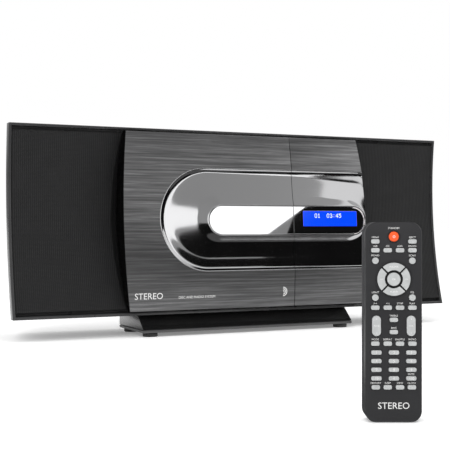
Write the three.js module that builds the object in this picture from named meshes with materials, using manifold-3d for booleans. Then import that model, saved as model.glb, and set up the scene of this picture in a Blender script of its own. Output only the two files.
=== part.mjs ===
// A slim one-piece stereo on a low stand, with a sliding disc door, and its remote control.
// X runs across the stereo, Y from its front to its back, Z up. All sizes are in millimetres.
// The upright faces are first drawn with Z = 0 at the underside of the front frame.

import * as THREE from 'three';
import { mergeVertices } from 'three/addons/utils/BufferGeometryUtils.js';
import Module from 'manifold-3d';

const wasm = await Module();
wasm.setup();

// ---------------------------------------------------------------- driving sizes

// Front frame and its hollow, leaning front surface
const unitWidth = 530;
const unitHeight = 200;
const frontLean = 16.5;
const frontHollow = 10;
const bezelDepth = 10;
const bezelSide = 3;
const bezelTop = 2.7;
const bezelBottom = 3.2;

// Gaps
const seat = 0.3;
const slideGap = 1.2;
const seamGap = 0.6;

// Disc and the door that uncovers it
const discDiameter = 120;
const discMargin = 0.75;
const doorTravel = discDiameter + 2 * discMargin;

// Centre panel, split into the door and the display side
const displayWidth = 96.7;
const panelBarrel = 6.8;
const panelBottomFront = -6.3;
const panelTopFront = 7;
const panelCrown = 6.5;
const panelInsetBottom = 4.7;
const panelInsetTop = 4.3;
const panelWall = 2.5;

// Glossy dish across the centre panel and the flat window in it
const dishRadius = 56.4;
const dishLeftRoom = 33.9;
const dishRise = 0.9;
const dishDepth = 2.3;
const dishShell = 2;
const dishRimStep = 0.1;
const windowRadius = 15.3;
const windowLeftRoom = 92.5;
const windowGap = 0.9;
const windowSeatDepth = 3.7;
const windowThickness = 2;
const trimWidth = 1.5;
const trimProud = 1.2;
const lcdWidth = 71;
const lcdHeight = 17;
const lcdRightRoom = 13;
const lcdDepth = 7;

// Baffle and grilles
const baffleSetback = 3;
const baffleThickness = 3;
const grilleSetback = 0.8;
const grilleThickness = 1.9;
const grilleUnderDoor = 6;
const grooveBottom = 3.7;
const grooveTop = 3.7;

// Disc deck
const bayMargin = 1.6;
const bayWall = 2.4;
const bayFloorFront = 30;
const bayFloorThickness = 2.5;
const bayHubHole = 17;
const deckWidth = 156;
const deckHeight = 104;
const deckThickness = 2;
const discPlane = 24.2;
const turntableRadius = 15;
const hubNoseRadius = 7.3;
const spindleRadius = 1;
const sledReach = 25;
const sledTravel = 29;
const sledHeadWidth = 12;
const sledHeadHeight = 16;
const sledRodRadius = 1.5;

// Door drive
const rodRadius = 2;
const rodClearance = 0.3;
const sliderBar = 9;
const sliderTab = 1.6;
const sliderLength = 140;
const sliderRightRoom = 25;
const toothModule = 1;
const pinionTeeth = 12;
const toothBacklash = 0.5;
const pinionFromBay = 29;
const pinionHeight = 7;
const motorRadius = 10;
const motorLength = 25;

// Loudspeakers
const coneRadius = 34;
const speakerRadius = 43;
const speakerPlane = 26.4;
const speakerDepth = 36;
const magnetRadius = 20;

// Rear shell
const shellInset = 7;
const shellTaper = 30;
const shellBack = 95;
const shellWall = 2.5;
const shellTopGap = 0.4;
const postRadius = 4.5;
const screwRadius = 1.5;
const screwHeadRadius = 3.4;
const boardWidth = 150;
const boardHeight = 90;
const boardThickness = 1.6;
const boardStandoff = 21;
const buttonCount = 5;
const buttonWidth = 14;
const buttonDepth = 7;
const buttonPitch = 22;
const buttonProud = 1.5;

// Stand
const standWidth = 258;
const standTopFront = 8;
const standFront = -8;
const standBack = 67;
const standHeight = 15;
const standWall = 2.5;
const basePlate = 3;
const footRadius = 8;
const footHeight = 4;
const footInset = 11;

// Remote control, standing on its end in front of the stereo and turned to one side
const remoteWidth = 34;
const remoteLength = 120;
const remoteThickness = 16;
const remoteCorner = 6.8;
const remoteWall = 1.4;
const remoteSplit = 5.8;
const remoteX = -158.5;
const remoteY = -502;
const remoteTurn = 25.56;
const keyGap = 0.3;
const keyProud = 0.9;
const matThickness = 0.8;
const cellRadius = 5.25;
const cellLength = 44.5;
const coverLength = 54;
const coverWidth = 26;
const coverFromEnd = 10;

// ---------------------------------------------------------------- worked-out places

const halfWidth = unitWidth / 2;
const panelEndHalf = halfWidth - doorTravel;
const panelMidHalf = panelEndHalf + panelBarrel;
const seamX = panelMidHalf - displayWidth;
const discX = seamX - doorTravel / 2;
const discZ = unitHeight / 2;
const panelLow = panelInsetBottom;
const panelHigh = unitHeight - panelInsetTop;
const baffleLow = bezelBottom + grooveBottom;
const baffleHigh = unitHeight - bezelTop - grooveTop;
const baffleHalf = halfWidth - bezelSide - seat;
const dishZ = unitHeight / 2 + 1;
const dishLeftCentre = -panelEndHalf + dishLeftRoom + dishRadius;
const windowLeftCentre = -panelEndHalf + windowLeftRoom + windowRadius;
const openingRadius = windowRadius + windowGap;
const openingRightRoom = 1.5;
const windowRightCentre = panelMidHalf - openingRightRoom - openingRadius;
const lcdRight = panelMidHalf - lcdRightRoom;
const speakerX = panelEndHalf + doorTravel / 2;
const bayRadius = discDiameter / 2 + bayMargin;
const shellFrontHalf = halfWidth - shellInset;
const speakerRim = Math.min(speakerRadius, shellFrontHalf - shellWall - 2.5 - speakerX);
const shellPostX = speakerX - speakerRim - 21;
const shellTop = unitHeight - shellTopGap;
const deckFront = bayFloorFront + bayFloorThickness + seat;
const motorX = discX - bayRadius - pinionFromBay;

// The concave front of the frame: how far back it lies at height z
function frontY(z) {
  const share = z / unitHeight;
  return frontLean * share + 4 * frontHollow * share * (1 - share);
}

// The convex front of the centre panel at height z
function panelY(z) {
  const share = (z - panelLow) / (panelHigh - panelLow);
  const chord = panelBottomFront + (panelTopFront - panelBottomFront) * share;
  return chord - 4 * panelCrown * share * (1 - share);
}

// Half the width of the barrel-shaped centre panel at height z
function panelHalf(z) {
  const share = (z - panelLow) / (panelHigh - panelLow);
  return panelEndHalf + 4 * panelBarrel * share * (1 - share);
}

// ---------------------------------------------------------------- solid helpers

function toSolid(geometry) {
  const bare = geometry.clone();
  bare.deleteAttribute('normal');
  bare.deleteAttribute('uv');
  const merged = mergeVertices(bare, 1e-4);
  const vertProperties = new Float32Array(merged.attributes.position.array);
  const triVerts = new Uint32Array(merged.index.array);
  return new wasm.Manifold(new wasm.Mesh({ numProp: 3, vertProperties, triVerts }));
}

function toGeometry(solid) {
  const mesh = solid.getMesh();
  const geometry = new THREE.BufferGeometry();
  geometry.setAttribute('position', new THREE.BufferAttribute(mesh.vertProperties, 3));
  geometry.setIndex(new THREE.BufferAttribute(mesh.triVerts, 1));
  geometry.computeVertexNormals();
  return geometry;
}

function joinAll(solids) {
  return solids.reduce((whole, next) => whole.add(next));
}

function extruded(outline, depth) {
  return new THREE.ExtrudeGeometry(outline, { depth, bevelEnabled: false, curveSegments: 6 });
}

// Outline drawn in Y and Z, run along X
function alongX(outline, xLow, xHigh) {
  const geometry = extruded(outline, xHigh - xLow);
  const turn = new THREE.Matrix4().makeBasis(
    new THREE.Vector3(0, 1, 0),
    new THREE.Vector3(0, 0, 1),
    new THREE.Vector3(1, 0, 0),
  );
  geometry.applyMatrix4(turn);
  geometry.translate(xLow, 0, 0);
  return toSolid(geometry);
}

// Outline drawn in X and Z, run along Y
function alongY(outline, yLow, yHigh) {
  const geometry = extruded(outline, yHigh - yLow);
  geometry.rotateX(Math.PI / 2);
  geometry.translate(0, yHigh, 0);
  return toSolid(geometry);
}

// Outline drawn in X and Y, run up Z
function alongZ(outline, zLow, zHigh) {
  const geometry = extruded(outline, zHigh - zLow);
  geometry.translate(0, 0, zLow);
  return toSolid(geometry);
}

function block(xLow, xHigh, yLow, yHigh, zLow, zHigh) {
  const geometry = new THREE.BoxGeometry(xHigh - xLow, yHigh - yLow, zHigh - zLow);
  geometry.translate((xLow + xHigh) / 2, (yLow + yHigh) / 2, (zLow + zHigh) / 2);
  return toSolid(geometry);
}

function polygon(points) {
  return new THREE.Shape(points.map(([a, b]) => new THREE.Vector2(a, b)));
}

// Round bar whose axis runs along Y
function barY(x, z, radius, yLow, yHigh, sides = 24) {
  const geometry = new THREE.CylinderGeometry(radius, radius, yHigh - yLow, sides);
  geometry.translate(x, (yLow + yHigh) / 2, z);
  return toSolid(geometry);
}

function barX(y, z, radius, xLow, xHigh, sides = 16) {
  const geometry = new THREE.CylinderGeometry(radius, radius, xHigh - xLow, sides);
  geometry.rotateZ(Math.PI / 2);
  geometry.translate((xLow + xHigh) / 2, y, z);
  return toSolid(geometry);
}

function barZ(x, y, radius, zLow, zHigh, sides = 24) {
  const geometry = new THREE.CylinderGeometry(radius, radius, zHigh - zLow, sides);
  geometry.rotateX(Math.PI / 2);
  geometry.translate(x, y, (zLow + zHigh) / 2);
  return toSolid(geometry);
}

// Turned part about an axis along Y; the profile is a list of [radius, y]
function turnedY(profile, x, z, sides = 32) {
  const points = profile.map(([radius, y]) => new THREE.Vector2(radius, y));
  const geometry = new THREE.LatheGeometry(points, sides);
  geometry.translate(x, 0, z);
  return toSolid(geometry);
}

// Strip between two curves of height, as an outline in Y and Z
function bandOutline(front, back, zLow, zHigh, steps = 12) {
  const heights = [];
  for (let i = 0; i <= steps; i += 1) {
    heights.push(zLow + ((zHigh - zLow) * i) / steps);
  }
  const rise = heights.map((z) => [back(z), z]);
  const fall = heights.reverse().map((z) => [front(z), z]);
  return polygon([...rise, ...fall]);
}

function roundedBox(width, height, corner) {
  const shape = new THREE.Shape();
  const x = width / 2 - corner;
  const z = height / 2 - corner;
  shape.absarc(x, z, corner, 0, Math.PI / 2);
  shape.absarc(-x, z, corner, Math.PI / 2, Math.PI);
  shape.absarc(-x, -z, corner, Math.PI, 1.5 * Math.PI);
  shape.absarc(x, -z, corner, 1.5 * Math.PI, 2 * Math.PI);
  return shape;
}

// ---------------------------------------------------------------- finishes

function finish(color, roughness, metalness) {
  return new THREE.MeshStandardMaterial({ color, roughness, metalness });
}

const finishes = {
  brushed: finish(0x5c5c5e, 0.38, 0.8),
  gloss: finish(0x1a1a1c, 0.06, 0.3),
  blackPlastic: finish(0x141415, 0.45, 0),
  framePlastic: finish(0x242426, 0.3, 0.2),
  grille: finish(0x18181a, 0.8, 0.1),
  smoke: finish(0x0c0c0e, 0.03, 0),
  chrome: finish(0xe4e0e0, 0.08, 1),
  lcd: finish(0x0a3cff, 0.3, 0),
  rubber: finish(0x1b1b1b, 0.9, 0),
  steel: finish(0xa9abad, 0.35, 1),
  board: finish(0x1d5a35, 0.6, 0),
  cone: finish(0x202021, 0.85, 0),
  standGrey: finish(0x4c4c4e, 0.4, 0.1),
  nylon: finish(0xd9d6cc, 0.6, 0),
  keyGrey: finish(0xb9babb, 0.55, 0),
  keyRed: finish(0xe8431c, 0.45, 0),
  cell: finish(0x8a8f96, 0.4, 0.6),
};

// ---------------------------------------------------------------- assembly groups

const stereo = new THREE.Group();
const unit = new THREE.Group();
const remote = new THREE.Group();
stereo.add(unit, remote);

function place(parent, name, solid, material) {
  const mesh = new THREE.Mesh(toGeometry(solid), material);
  mesh.name = name;
  parent.add(mesh);
  return mesh;
}

// ---------------------------------------------------------------- front frame, grilles and baffle

function makeBezel() {
  const outline = bandOutline(frontY, (z) => frontY(z) + bezelDepth, 0, unitHeight);
  const slab = alongX(outline, -halfWidth, halfWidth);
  const inner = halfWidth - bezelSide;
  return slab.subtract(block(-inner, inner, -50, 100, bezelBottom, unitHeight - bezelTop));
}

function makeGrille(side) {
  const outline = bandOutline(
    (z) => frontY(z) + grilleSetback,
    (z) => frontY(z) + grilleSetback + grilleThickness,
    baffleLow,
    baffleHigh,
  );
  const inner = panelEndHalf - grilleUnderDoor;
  return side < 0 ? alongX(outline, -baffleHalf, -inner) : alongX(outline, inner, baffleHalf);
}

const rodBottomZ = 12;
const rodTopZ = unitHeight - 12;
const rodBottomY = frontY(rodBottomZ) + baffleSetback + baffleThickness + 1.5 + sliderBar / 2;
const rodTopY = frontY(rodTopZ - sliderBar / 2) + baffleSetback + baffleThickness + 1.5 + sliderBar / 2;
const rodLeft = -baffleHalf + 11;
const rodRight = seamX - 3;
const rodHolderWidth = 6;

function makeBaffle() {
  const backOf = (z) => frontY(z) + baffleSetback + baffleThickness;
  const outline = bandOutline((z) => frontY(z) + baffleSetback, backOf, baffleLow, baffleHigh);
  let solid = alongX(outline, -baffleHalf, baffleHalf);
  const bayBack = bayFloorFront + bayFloorThickness;
  const behindFront = alongX(
    bandOutline((z) => frontY(z) + baffleSetback, () => 120, baffleLow, baffleHigh),
    -baffleHalf,
    baffleHalf,
  );
  solid = solid.add(barY(discX, discZ, bayRadius + bayWall, 0, bayBack, 40).intersect(behindFront));
  for (const side of [-1, 1]) {
    const collar = barY(side * speakerX, discZ, speakerRim + 2, 0, speakerPlane - seat, 24);
    solid = solid.add(collar.intersect(behindFront));
    solid = solid.subtract(barY(side * speakerX, discZ, coneRadius + 4, -10, 60, 24));
    const postX = side * shellPostX;
    solid = solid.add(barY(postX, discZ, postRadius, backOf(discZ) - 1, shellBack - shellWall - seat, 12));
    solid = solid.subtract(barY(postX, discZ, screwRadius + 0.2, shellBack - 18, shellBack, 12));
  }
  solid = solid.subtract(barY(discX, discZ, bayRadius, -10, bayFloorFront, 40));
  solid = solid.subtract(barY(discX, discZ, bayHubHole, 0, 60, 24));
  solid = solid.subtract(sledSlot(0, 60));
  const cradleFront = backOf(motorCradleLow) - 2;
  const cradleBack = motorY - motorRadius - seat;
  const cradle = block(motorX - 8, motorX + 8, cradleFront, cradleBack, motorCradleLow, motorCradleHigh);
  solid = solid.add(cradle.intersect(behindFront));
  for (const [y, z] of [[rodBottomY, rodBottomZ], [rodTopY, rodTopZ]]) {
    for (const x of [rodLeft, rodRight]) {
      const holder = block(x - rodHolderWidth / 2, x + rodHolderWidth / 2, 0, y + 4, z - 4, z + 4);
      solid = solid.add(holder.intersect(behindFront));
    }
    solid = solid.subtract(barX(y, z, rodRadius + rodClearance, rodLeft - 4, rodRight + 4));
  }
  return solid;
}

function sledSlot(yLow, yHigh) {
  const left = discX + sledReach - sledHeadWidth / 2 - 0.8;
  const right = discX + sledReach + sledTravel + sledHeadWidth / 2 + 0.5;
  return block(left, right, yLow, yHigh, discZ - sledHeadHeight / 2 - 1, discZ + sledHeadHeight / 2 + 1);
}

// ---------------------------------------------------------------- centre panel

// Rings of the shallow dish, from its rim to the opening for the window: how far in they lie,
// their depth, how far their right end passes the panel's edge, its length and its squareness
const dishRings = [
  { inward: 0, depth: 0, right: 1.2, length: 20, square: 10 },
  { inward: 0.11, depth: 0.62 * dishDepth, right: 1.2, length: 24, square: 8 },
  { inward: 0.175, depth: 0.87 * dishDepth, right: 1.1, length: 30, square: 6 },
  { inward: 0.27, depth: dishDepth, right: 1, length: 36, square: 4 },
  { inward: 0.55, depth: dishDepth, right: 0.6, length: 38, square: 2.6 },
  { inward: 0.77, depth: 0.62 * dishDepth, right: 0.2, length: 29, square: 2.1 },
  { inward: 0.97, depth: 0.1 * dishDepth, right: -0.6, length: openingRadius + 1.2, square: 2 },
  { inward: 1, depth: 0.17 * dishDepth, right: -openingRightRoom, length: openingRadius, square: 2 },
  { inward: 1.001, depth: windowSeatDepth, right: -openingRightRoom, length: openingRadius, square: 2 },
];

function ringPoints(ring, clearance, steps) {
  const radius = THREE.MathUtils.lerp(dishRadius, openingRadius, ring.inward) + clearance;
  const leftCentre = THREE.MathUtils.lerp(dishLeftCentre, windowLeftCentre, ring.inward);
  const rightCentre = panelMidHalf + ring.right + clearance - ring.length;
  const middle = dishZ + dishRise * (1 - ring.inward);
  const points = [];
  for (let i = 0; i <= steps; i += 1) {
    const angle = Math.PI / 2 + (Math.PI * i) / steps;
    points.push([leftCentre + radius * Math.cos(angle), middle + radius * Math.sin(angle)]);
  }
  for (let i = 0; i <= steps; i += 1) {
    const angle = -Math.PI / 2 + (Math.PI * i) / steps;
    const across = Math.abs(Math.cos(angle)) ** (2 / ring.square);
    const rise = Math.sign(Math.sin(angle)) * Math.abs(Math.sin(angle)) ** (2 / ring.square);
    points.push([rightCentre + ring.length * across, middle + radius * rise]);
  }
  return points;
}

// The dish is thicker behind the window than in its trough
function dishBack(ring) {
  return dishShell + (ring.inward > 0.9 ? windowSeatDepth : dishDepth);
}

// Closed solid between two surfaces that follow the dish
function dishSolid(frontDepth, backDepth, clearance) {
  const steps = 14;
  const rings = dishRings.map((ring) => ({ ring, points: ringPoints(ring, clearance, steps) }));
  const count = rings[0].points.length;
  const positions = [];
  const faces = [];
  for (const depthOf of [frontDepth, backDepth]) {
    for (const { ring, points } of rings) {
      for (const [x, z] of points) {
        positions.push(x, panelY(z) + depthOf(ring), z);
      }
    }
  }
  const at = (side, ring, point) => (side * rings.length + ring) * count + (point % count);
  const quad = (a, b, c, d) => faces.push(a, b, c, a, c, d);
  for (let point = 0; point < count; point += 1) {
    for (let ring = 0; ring + 1 < rings.length; ring += 1) {
      quad(at(0, ring, point), at(0, ring, point + 1), at(0, ring + 1, point + 1), at(0, ring + 1, point));
      quad(at(1, ring, point), at(1, ring + 1, point), at(1, ring + 1, point + 1), at(1, ring, point + 1));
    }
    quad(at(0, 0, point), at(1, 0, point), at(1, 0, point + 1), at(0, 0, point + 1));
  }
  const last = rings.length - 1;
  const contour = rings[last].points.map(([x, z]) => new THREE.Vector2(x, z));
  for (const [a, b, c] of THREE.ShapeUtils.triangulateShape(contour, [])) {
    faces.push(at(0, last, a), at(0, last, b), at(0, last, c));
    faces.push(at(1, last, a), at(1, last, c), at(1, last, b));
  }
  const geometry = new THREE.BufferGeometry();
  geometry.setAttribute('position', new THREE.Float32BufferAttribute(positions, 3));
  geometry.setIndex(faces);
  return toSolid(geometry);
}

// The panel's outline seen from the front, shrunk by an inset, between two heights
function panelPrism(inset, xLow, xHigh) {
  const steps = 12;
  const low = panelLow + inset;
  const high = panelHigh - inset;
  const right = [];
  const left = [];
  for (let i = 0; i <= steps; i += 1) {
    const z = low + ((high - low) * i) / steps;
    right.push([panelHalf(z) - inset, z]);
    left.push([inset - panelHalf(z), z]);
  }
  const prism = alongY(polygon([...right, ...left.reverse()]), -60, 120);
  return prism.intersect(block(xLow, xHigh, -60, 120, -10, unitHeight + 10));
}

const pastPanel = panelMidHalf + 20;
const doorRight = seamX - seamGap / 2;
const displayLeft = seamX + seamGap / 2;

function makePanel(xLow, xHigh, backY) {
  const outline = bandOutline(panelY, backY, panelLow, panelHigh);
  const whole = alongX(outline, -pastPanel, pastPanel).intersect(panelPrism(0, xLow, xHigh));
  const hollowOutline = bandOutline((z) => panelY(z) + panelWall, () => 110, panelLow, panelHigh);
  const innerLow = xLow < -panelMidHalf ? xLow : xLow + panelWall;
  const innerHigh = xHigh > panelMidHalf ? xHigh : xHigh - panelWall;
  const hollowSides = panelPrism(panelWall, innerLow, innerHigh);
  const hollow = alongX(hollowOutline, -pastPanel, pastPanel).intersect(hollowSides);
  const dishSpace = dishSolid(() => -30, (ring) => dishBack(ring) + seat, seat);
  return whole.subtract(hollow).subtract(dishSpace);
}

function makeDish(xLow, xHigh) {
  const dish = dishSolid((ring) => ring.depth + dishRimStep, dishBack, 0);
  return dish.intersect(panelPrism(0, xLow, xHigh));
}

function windowOutline(radius) {
  const shape = new THREE.Shape();
  shape.absarc(windowLeftCentre, dishZ, radius, Math.PI / 2, 1.5 * Math.PI);
  shape.absarc(windowRightCentre, dishZ, radius, -Math.PI / 2, Math.PI / 2);
  return shape;
}

function windowLayer(radius, frontDepth, backDepth) {
  const front = (z) => panelY(z) + frontDepth;
  const back = (z) => panelY(z) + backDepth;
  const layer = bandOutline(front, back, 10, unitHeight - 10, 24);
  return alongX(layer, -pastPanel, pastPanel).intersect(alongY(windowOutline(radius), -60, 60));
}

const windowBack = windowSeatDepth + dishRimStep - seat;
const windowFront = windowBack - windowThickness;

function lcdSpace(grow, yLow, yHigh) {
  const low = dishZ + 2 - lcdHeight / 2 - grow;
  return block(lcdRight - lcdWidth - grow, lcdRight + grow, yLow, yHigh, low, low + lcdHeight + 2 * grow);
}

// The window's right end steps in to make room for the bright half ring
const trimOuter = openingRadius - seat;
const trimInner = trimOuter - trimWidth;

function makeWindow(xLow, xHigh) {
  const layer = windowLayer(windowRadius, windowFront, windowBack);
  const side = layer.intersect(block(xLow, xHigh, -60, 60, 0, unitHeight));
  const pastCentre = block(windowRightCentre - seat, pastPanel, -60, 60, 0, unitHeight);
  const trimRoom = pastCentre.subtract(barY(windowRightCentre, dishZ, trimInner - seat, -60, 60, 32));
  return side.subtract(trimRoom).subtract(lcdSpace(seat, -60, 60));
}

function makeTrim() {
  const ring = windowLayer(trimOuter, windowFront - trimProud, windowBack);
  const bore = alongY(windowOutline(trimInner), -60, 60);
  return ring.subtract(bore).intersect(block(windowRightCentre, pastPanel, -60, 60, 0, unitHeight));
}

function makeLcd() {
  const front = panelY(dishZ) + windowFront + 1;
  return lcdSpace(0, front, front + lcdDepth);
}

// ---------------------------------------------------------------- door drive

const sliderRight = doorRight - sliderRightRoom;
const sliderLeft = sliderRight - sliderLength;
const toothPitch = Math.PI * toothModule;
const pitchRadius = (toothModule * pinionTeeth) / 2;
const rackRoot = rodBottomY + sliderBar / 2;
const rackPitchLine = rackRoot + 1.25 * toothModule;
const motorY = rackPitchLine + pitchRadius + 0.25;
const motorCradleLow = 22;
const motorCradleHigh = 42;
const pinionLow = rodBottomZ - pinionHeight / 2;
const doorBackY = (z) => frontY(z) - slideGap;

function makeSlider(rodY, rodZ, tabLow, tabHigh) {
  const half = sliderBar / 2;
  const tabFront = doorBackY((tabLow + tabHigh) / 2) + 0.6;
  const bar = block(sliderLeft, sliderRight, rodY - half, rodY + half, rodZ - half, rodZ + half);
  const tab = block(sliderLeft, sliderRight, tabFront, rodY + half, tabLow, tabHigh);
  const joinLow = Math.min(rodZ, tabLow);
  const joinHigh = Math.max(rodZ, tabHigh);
  const web = block(sliderLeft, sliderRight, rodY - half, rodY + half, joinLow, joinHigh);
  const solid = joinAll([bar, tab, web]);
  return solid.subtract(barX(rodY, rodZ, rodRadius + rodClearance, sliderLeft - 1, sliderRight + 1));
}

function rackTeeth() {
  const half = toothPitch / 4 - toothBacklash / 4;
  const lean = Math.tan(THREE.MathUtils.degToRad(20)) * toothModule;
  const root = -1.25 * toothModule;
  const points = [[sliderLeft, rackRoot - 1]];
  const first = Math.ceil((sliderLeft + 2 - motorX) / toothPitch);
  const last = Math.floor((sliderRight - 2 - motorX) / toothPitch);
  points.push([sliderLeft, rackRoot]);
  for (let i = first; i <= last; i += 1) {
    const x = motorX + i * toothPitch;
    points.push([x - half - 1.25 * lean, rackPitchLine + root]);
    points.push([x - half + 0.8 * lean, rackPitchLine + 0.8 * toothModule]);
    points.push([x + half - 0.8 * lean, rackPitchLine + 0.8 * toothModule]);
    points.push([x + half + 1.25 * lean, rackPitchLine + root]);
  }
  points.push([sliderRight, rackRoot]);
  points.push([sliderRight, rackRoot - 1]);
  return alongZ(polygon(points.reverse()), rodBottomZ - sliderBar / 2, rodBottomZ + sliderBar / 2);
}

function makePinion() {
  const points = [];
  const step = (2 * Math.PI) / pinionTeeth;
  const half = (toothPitch / 2 - toothBacklash / 2) / 2 / pitchRadius;
  const rootRadius = pitchRadius - 1.2 * toothModule;
  const tipRadius = pitchRadius + 0.85 * toothModule;
  for (let i = 0; i < pinionTeeth; i += 1) {
    const centre = -Math.PI / 2 + (i + 0.5) * step;
    for (const [radius, share] of [[rootRadius, -1.15], [pitchRadius, -1], [tipRadius, -0.42]]) {
      points.push([radius * Math.cos(centre + share * half), radius * Math.sin(centre + share * half)]);
    }
    for (const [radius, share] of [[tipRadius, 0.42], [pitchRadius, 1], [rootRadius, 1.15]]) {
      points.push([radius * Math.cos(centre + share * half), radius * Math.sin(centre + share * half)]);
    }
  }
  const wheel = alongZ(polygon(points), pinionLow, pinionLow + pinionHeight).translate([motorX, motorY, 0]);
  return wheel.subtract(barZ(motorX, motorY, 1 + seat, 0, 40, 12));
}

function makeDoorMotor() {
  const low = pinionLow + pinionHeight + 4;
  const can = barZ(motorX, motorY, motorRadius, low, low + motorLength, 24);
  return can.add(barZ(motorX, motorY, 1, pinionLow + 0.5, low + 1, 12));
}

// ---------------------------------------------------------------- disc deck

const sledRodZ = discZ - 16;
const sledRodY = deckFront + deckThickness + 5;
const sledRodLeft = discX + 10;
const sledRodRight = discX + sledReach + sledTravel + sledHeadWidth / 2 + 14;

function makeDeckPlate() {
  const outline = roundedBox(deckWidth, deckHeight, 6);
  const back = deckFront + deckThickness;
  let solid = alongY(outline, deckFront, back).translate([discX, 0, discZ]);
  for (const x of [sledRodLeft, sledRodRight]) {
    solid = solid.add(block(x - 3, x + 3, back - 0.5, sledRodY + 3.5, sledRodZ - 3.5, sledRodZ + 3.5));
  }
  const rodHole = sledRodRadius + rodClearance;
  solid = solid.subtract(barX(sledRodY, sledRodZ, rodHole, sledRodLeft - 4, sledRodRight + 4, 12));
  solid = solid.subtract(barY(discX, discZ, spindleRadius + 1, 0, 60, 16));
  return solid.subtract(sledSlot(0, deckFront + deckThickness + 0.1));
}

function makeHub() {
  const outer = [
    [0, discPlane - 4.5],
    [hubNoseRadius - 2.5, discPlane - 4.5],
    [hubNoseRadius, discPlane - 2],
    [hubNoseRadius, discPlane],
    [turntableRadius, discPlane],
    [turntableRadius, discPlane + 3],
    [spindleRadius, discPlane + 3],
    [spindleRadius, deckFront + deckThickness + 0.5],
    [0, deckFront + deckThickness + 0.5],
  ];
  return turnedY(outer, discX, discZ, 24);
}

function makeSpindleMotor() {
  const front = deckFront + deckThickness + seat;
  const can = barY(discX, discZ, 11, front, front + 9, 28);
  return can.subtract(barY(discX, discZ, spindleRadius + seat, front - 1, front + 2, 16));
}

function makeSled() {
  const x = discX + sledReach;
  const back = deckFront + deckThickness;
  const head = block(
    x - sledHeadWidth / 2,
    x + sledHeadWidth / 2,
    discPlane + 4.3,
    back + 3,
    discZ - sledHeadHeight / 2,
    discZ + sledHeadHeight / 2,
  );
  const lens = barY(x, discZ, 3.5, discPlane + 2.6, discPlane + 5, 20);
  const body = block(x - 9, x + 11, back + 1, back + 9, sledRodZ - 5, discZ + 12);
  const solid = joinAll([head, lens, body]);
  return solid.subtract(barX(sledRodY, sledRodZ, sledRodRadius + rodClearance, x - 30, x + 30, 12));
}

// ---------------------------------------------------------------- loudspeakers

function makeSpeakerFrame(side) {
  const front = speakerPlane;
  const back = speakerPlane + speakerDepth;
  const profile = [
    [0, back],
    [magnetRadius, back],
    [magnetRadius, back - 12],
    [coneRadius, front + 6],
    [speakerRim, front + 2.5],
    [speakerRim, front],
    [coneRadius + 3, front],
    [coneRadius - 1, front + 6],
    [magnetRadius - 5, back - 13],
    [0, back - 13],
  ];
  return turnedY(profile.reverse(), side * speakerX, discZ, 24);
}

function makeSpeakerCone(side) {
  const front = speakerPlane;
  const profile = [
    [0, front + 7],
    [8, front + 9],
    [10, front + 14],
    [coneRadius - 4, front + 4],
    [coneRadius - 1, front + 1.5],
    [coneRadius + 2, front + 1.2],
    [coneRadius - 2.5, front + 5.4],
    [11, front + 17],
    [0, front + 17],
  ];
  return turnedY(profile, side * speakerX, discZ, 24);
}

// ---------------------------------------------------------------- rear shell and what it carries

const bezelBackY = (z) => frontY(z) + bezelDepth + seat;
const buttonRight = panelEndHalf - 20;
const buttonY = 58;
const socketZ = 40;
const socketPlates = [
  { name: 'power_socket', x: 92, width: 12, height: 12, bore: 3, pin: 1 },
  { name: 'aux_socket', x: 68, width: 11, height: 11, bore: 1.8, pin: 0 },
  { name: 'aerial_socket', x: 44, width: 14, height: 14, bore: 2.4, pin: 0.6 },
];
const usbX = 16;
const usbWidth = 13.2;
const usbHeight = 5.8;
const usbWall = 1.2;
const usbDepth = 14;

function shellSolid(inset, frontOf) {
  const outline = new THREE.Shape();
  const steps = 12;
  const low = inset;
  const high = shellTop - inset;
  outline.moveTo(shellBack - inset, low + 6);
  outline.lineTo(shellBack - inset, high - 16);
  outline.lineTo(shellBack - 18 - inset, high);
  for (let i = steps; i >= 0; i -= 1) {
    const z = low + ((high - low) * i) / steps;
    outline.lineTo(frontOf(z), z);
  }
  outline.lineTo(shellBack - 10 - inset, low);
  const side = alongX(outline, -halfWidth, halfWidth);
  const front = shellFrontHalf - inset;
  const back = shellFrontHalf - shellTaper - inset;
  const plan = polygon([[front, 0], [front, 30], [back, 130], [-back, 130], [-front, 30], [-front, 0]]);
  return side.intersect(alongZ(plan, -5, unitHeight + 5));
}

function makeRearShell() {
  let solid = shellSolid(0, bezelBackY).subtract(shellSolid(shellWall, () => -20));
  for (const side of [-1, 1]) {
    const postX = side * shellPostX;
    solid = solid.subtract(barY(postX, discZ, screwRadius + 0.4, 60, 110, 16));
    for (let row = 0; row < 7; row += 1) {
      const z = 76 + row * 9;
      solid = solid.subtract(block(side * 62 - 34, side * 62 + 34, 80, 110, z, z + 3));
    }
    for (const z of [socketZ - 22, socketZ + boardHeight - 30]) {
      const boss = barY(side * (boardWidth / 2 - 8) + 6, z, 3, shellBack - boardStandoff, shellBack - 1, 12);
      solid = solid.add(boss);
    }
  }
  for (const { x, width, height } of socketPlates) {
    solid = solid.subtract(block(
      x - width / 2 - seat,
      x + width / 2 + seat,
      80,
      110,
      socketZ - height / 2 - seat,
      socketZ + height / 2 + seat,
    ));
  }
  const usbRoom = 1.2 + seat;
  solid = solid.subtract(block(
    usbX - usbWidth / 2 - usbRoom,
    usbX + usbWidth / 2 + usbRoom,
    80,
    110,
    socketZ - usbHeight / 2 - usbRoom,
    socketZ + usbHeight / 2 + usbRoom,
  ));
  for (let i = 0; i < buttonCount; i += 1) {
    const x = buttonRight - i * buttonPitch;
    const halfX = buttonWidth / 2 + seat;
    const halfY = buttonDepth / 2 + seat;
    const opening = block(x - halfX, x + halfX, buttonY - halfY, buttonY + halfY, shellTop - 20, shellTop + 20);
    solid = solid.subtract(opening);
  }
  return solid;
}

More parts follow.
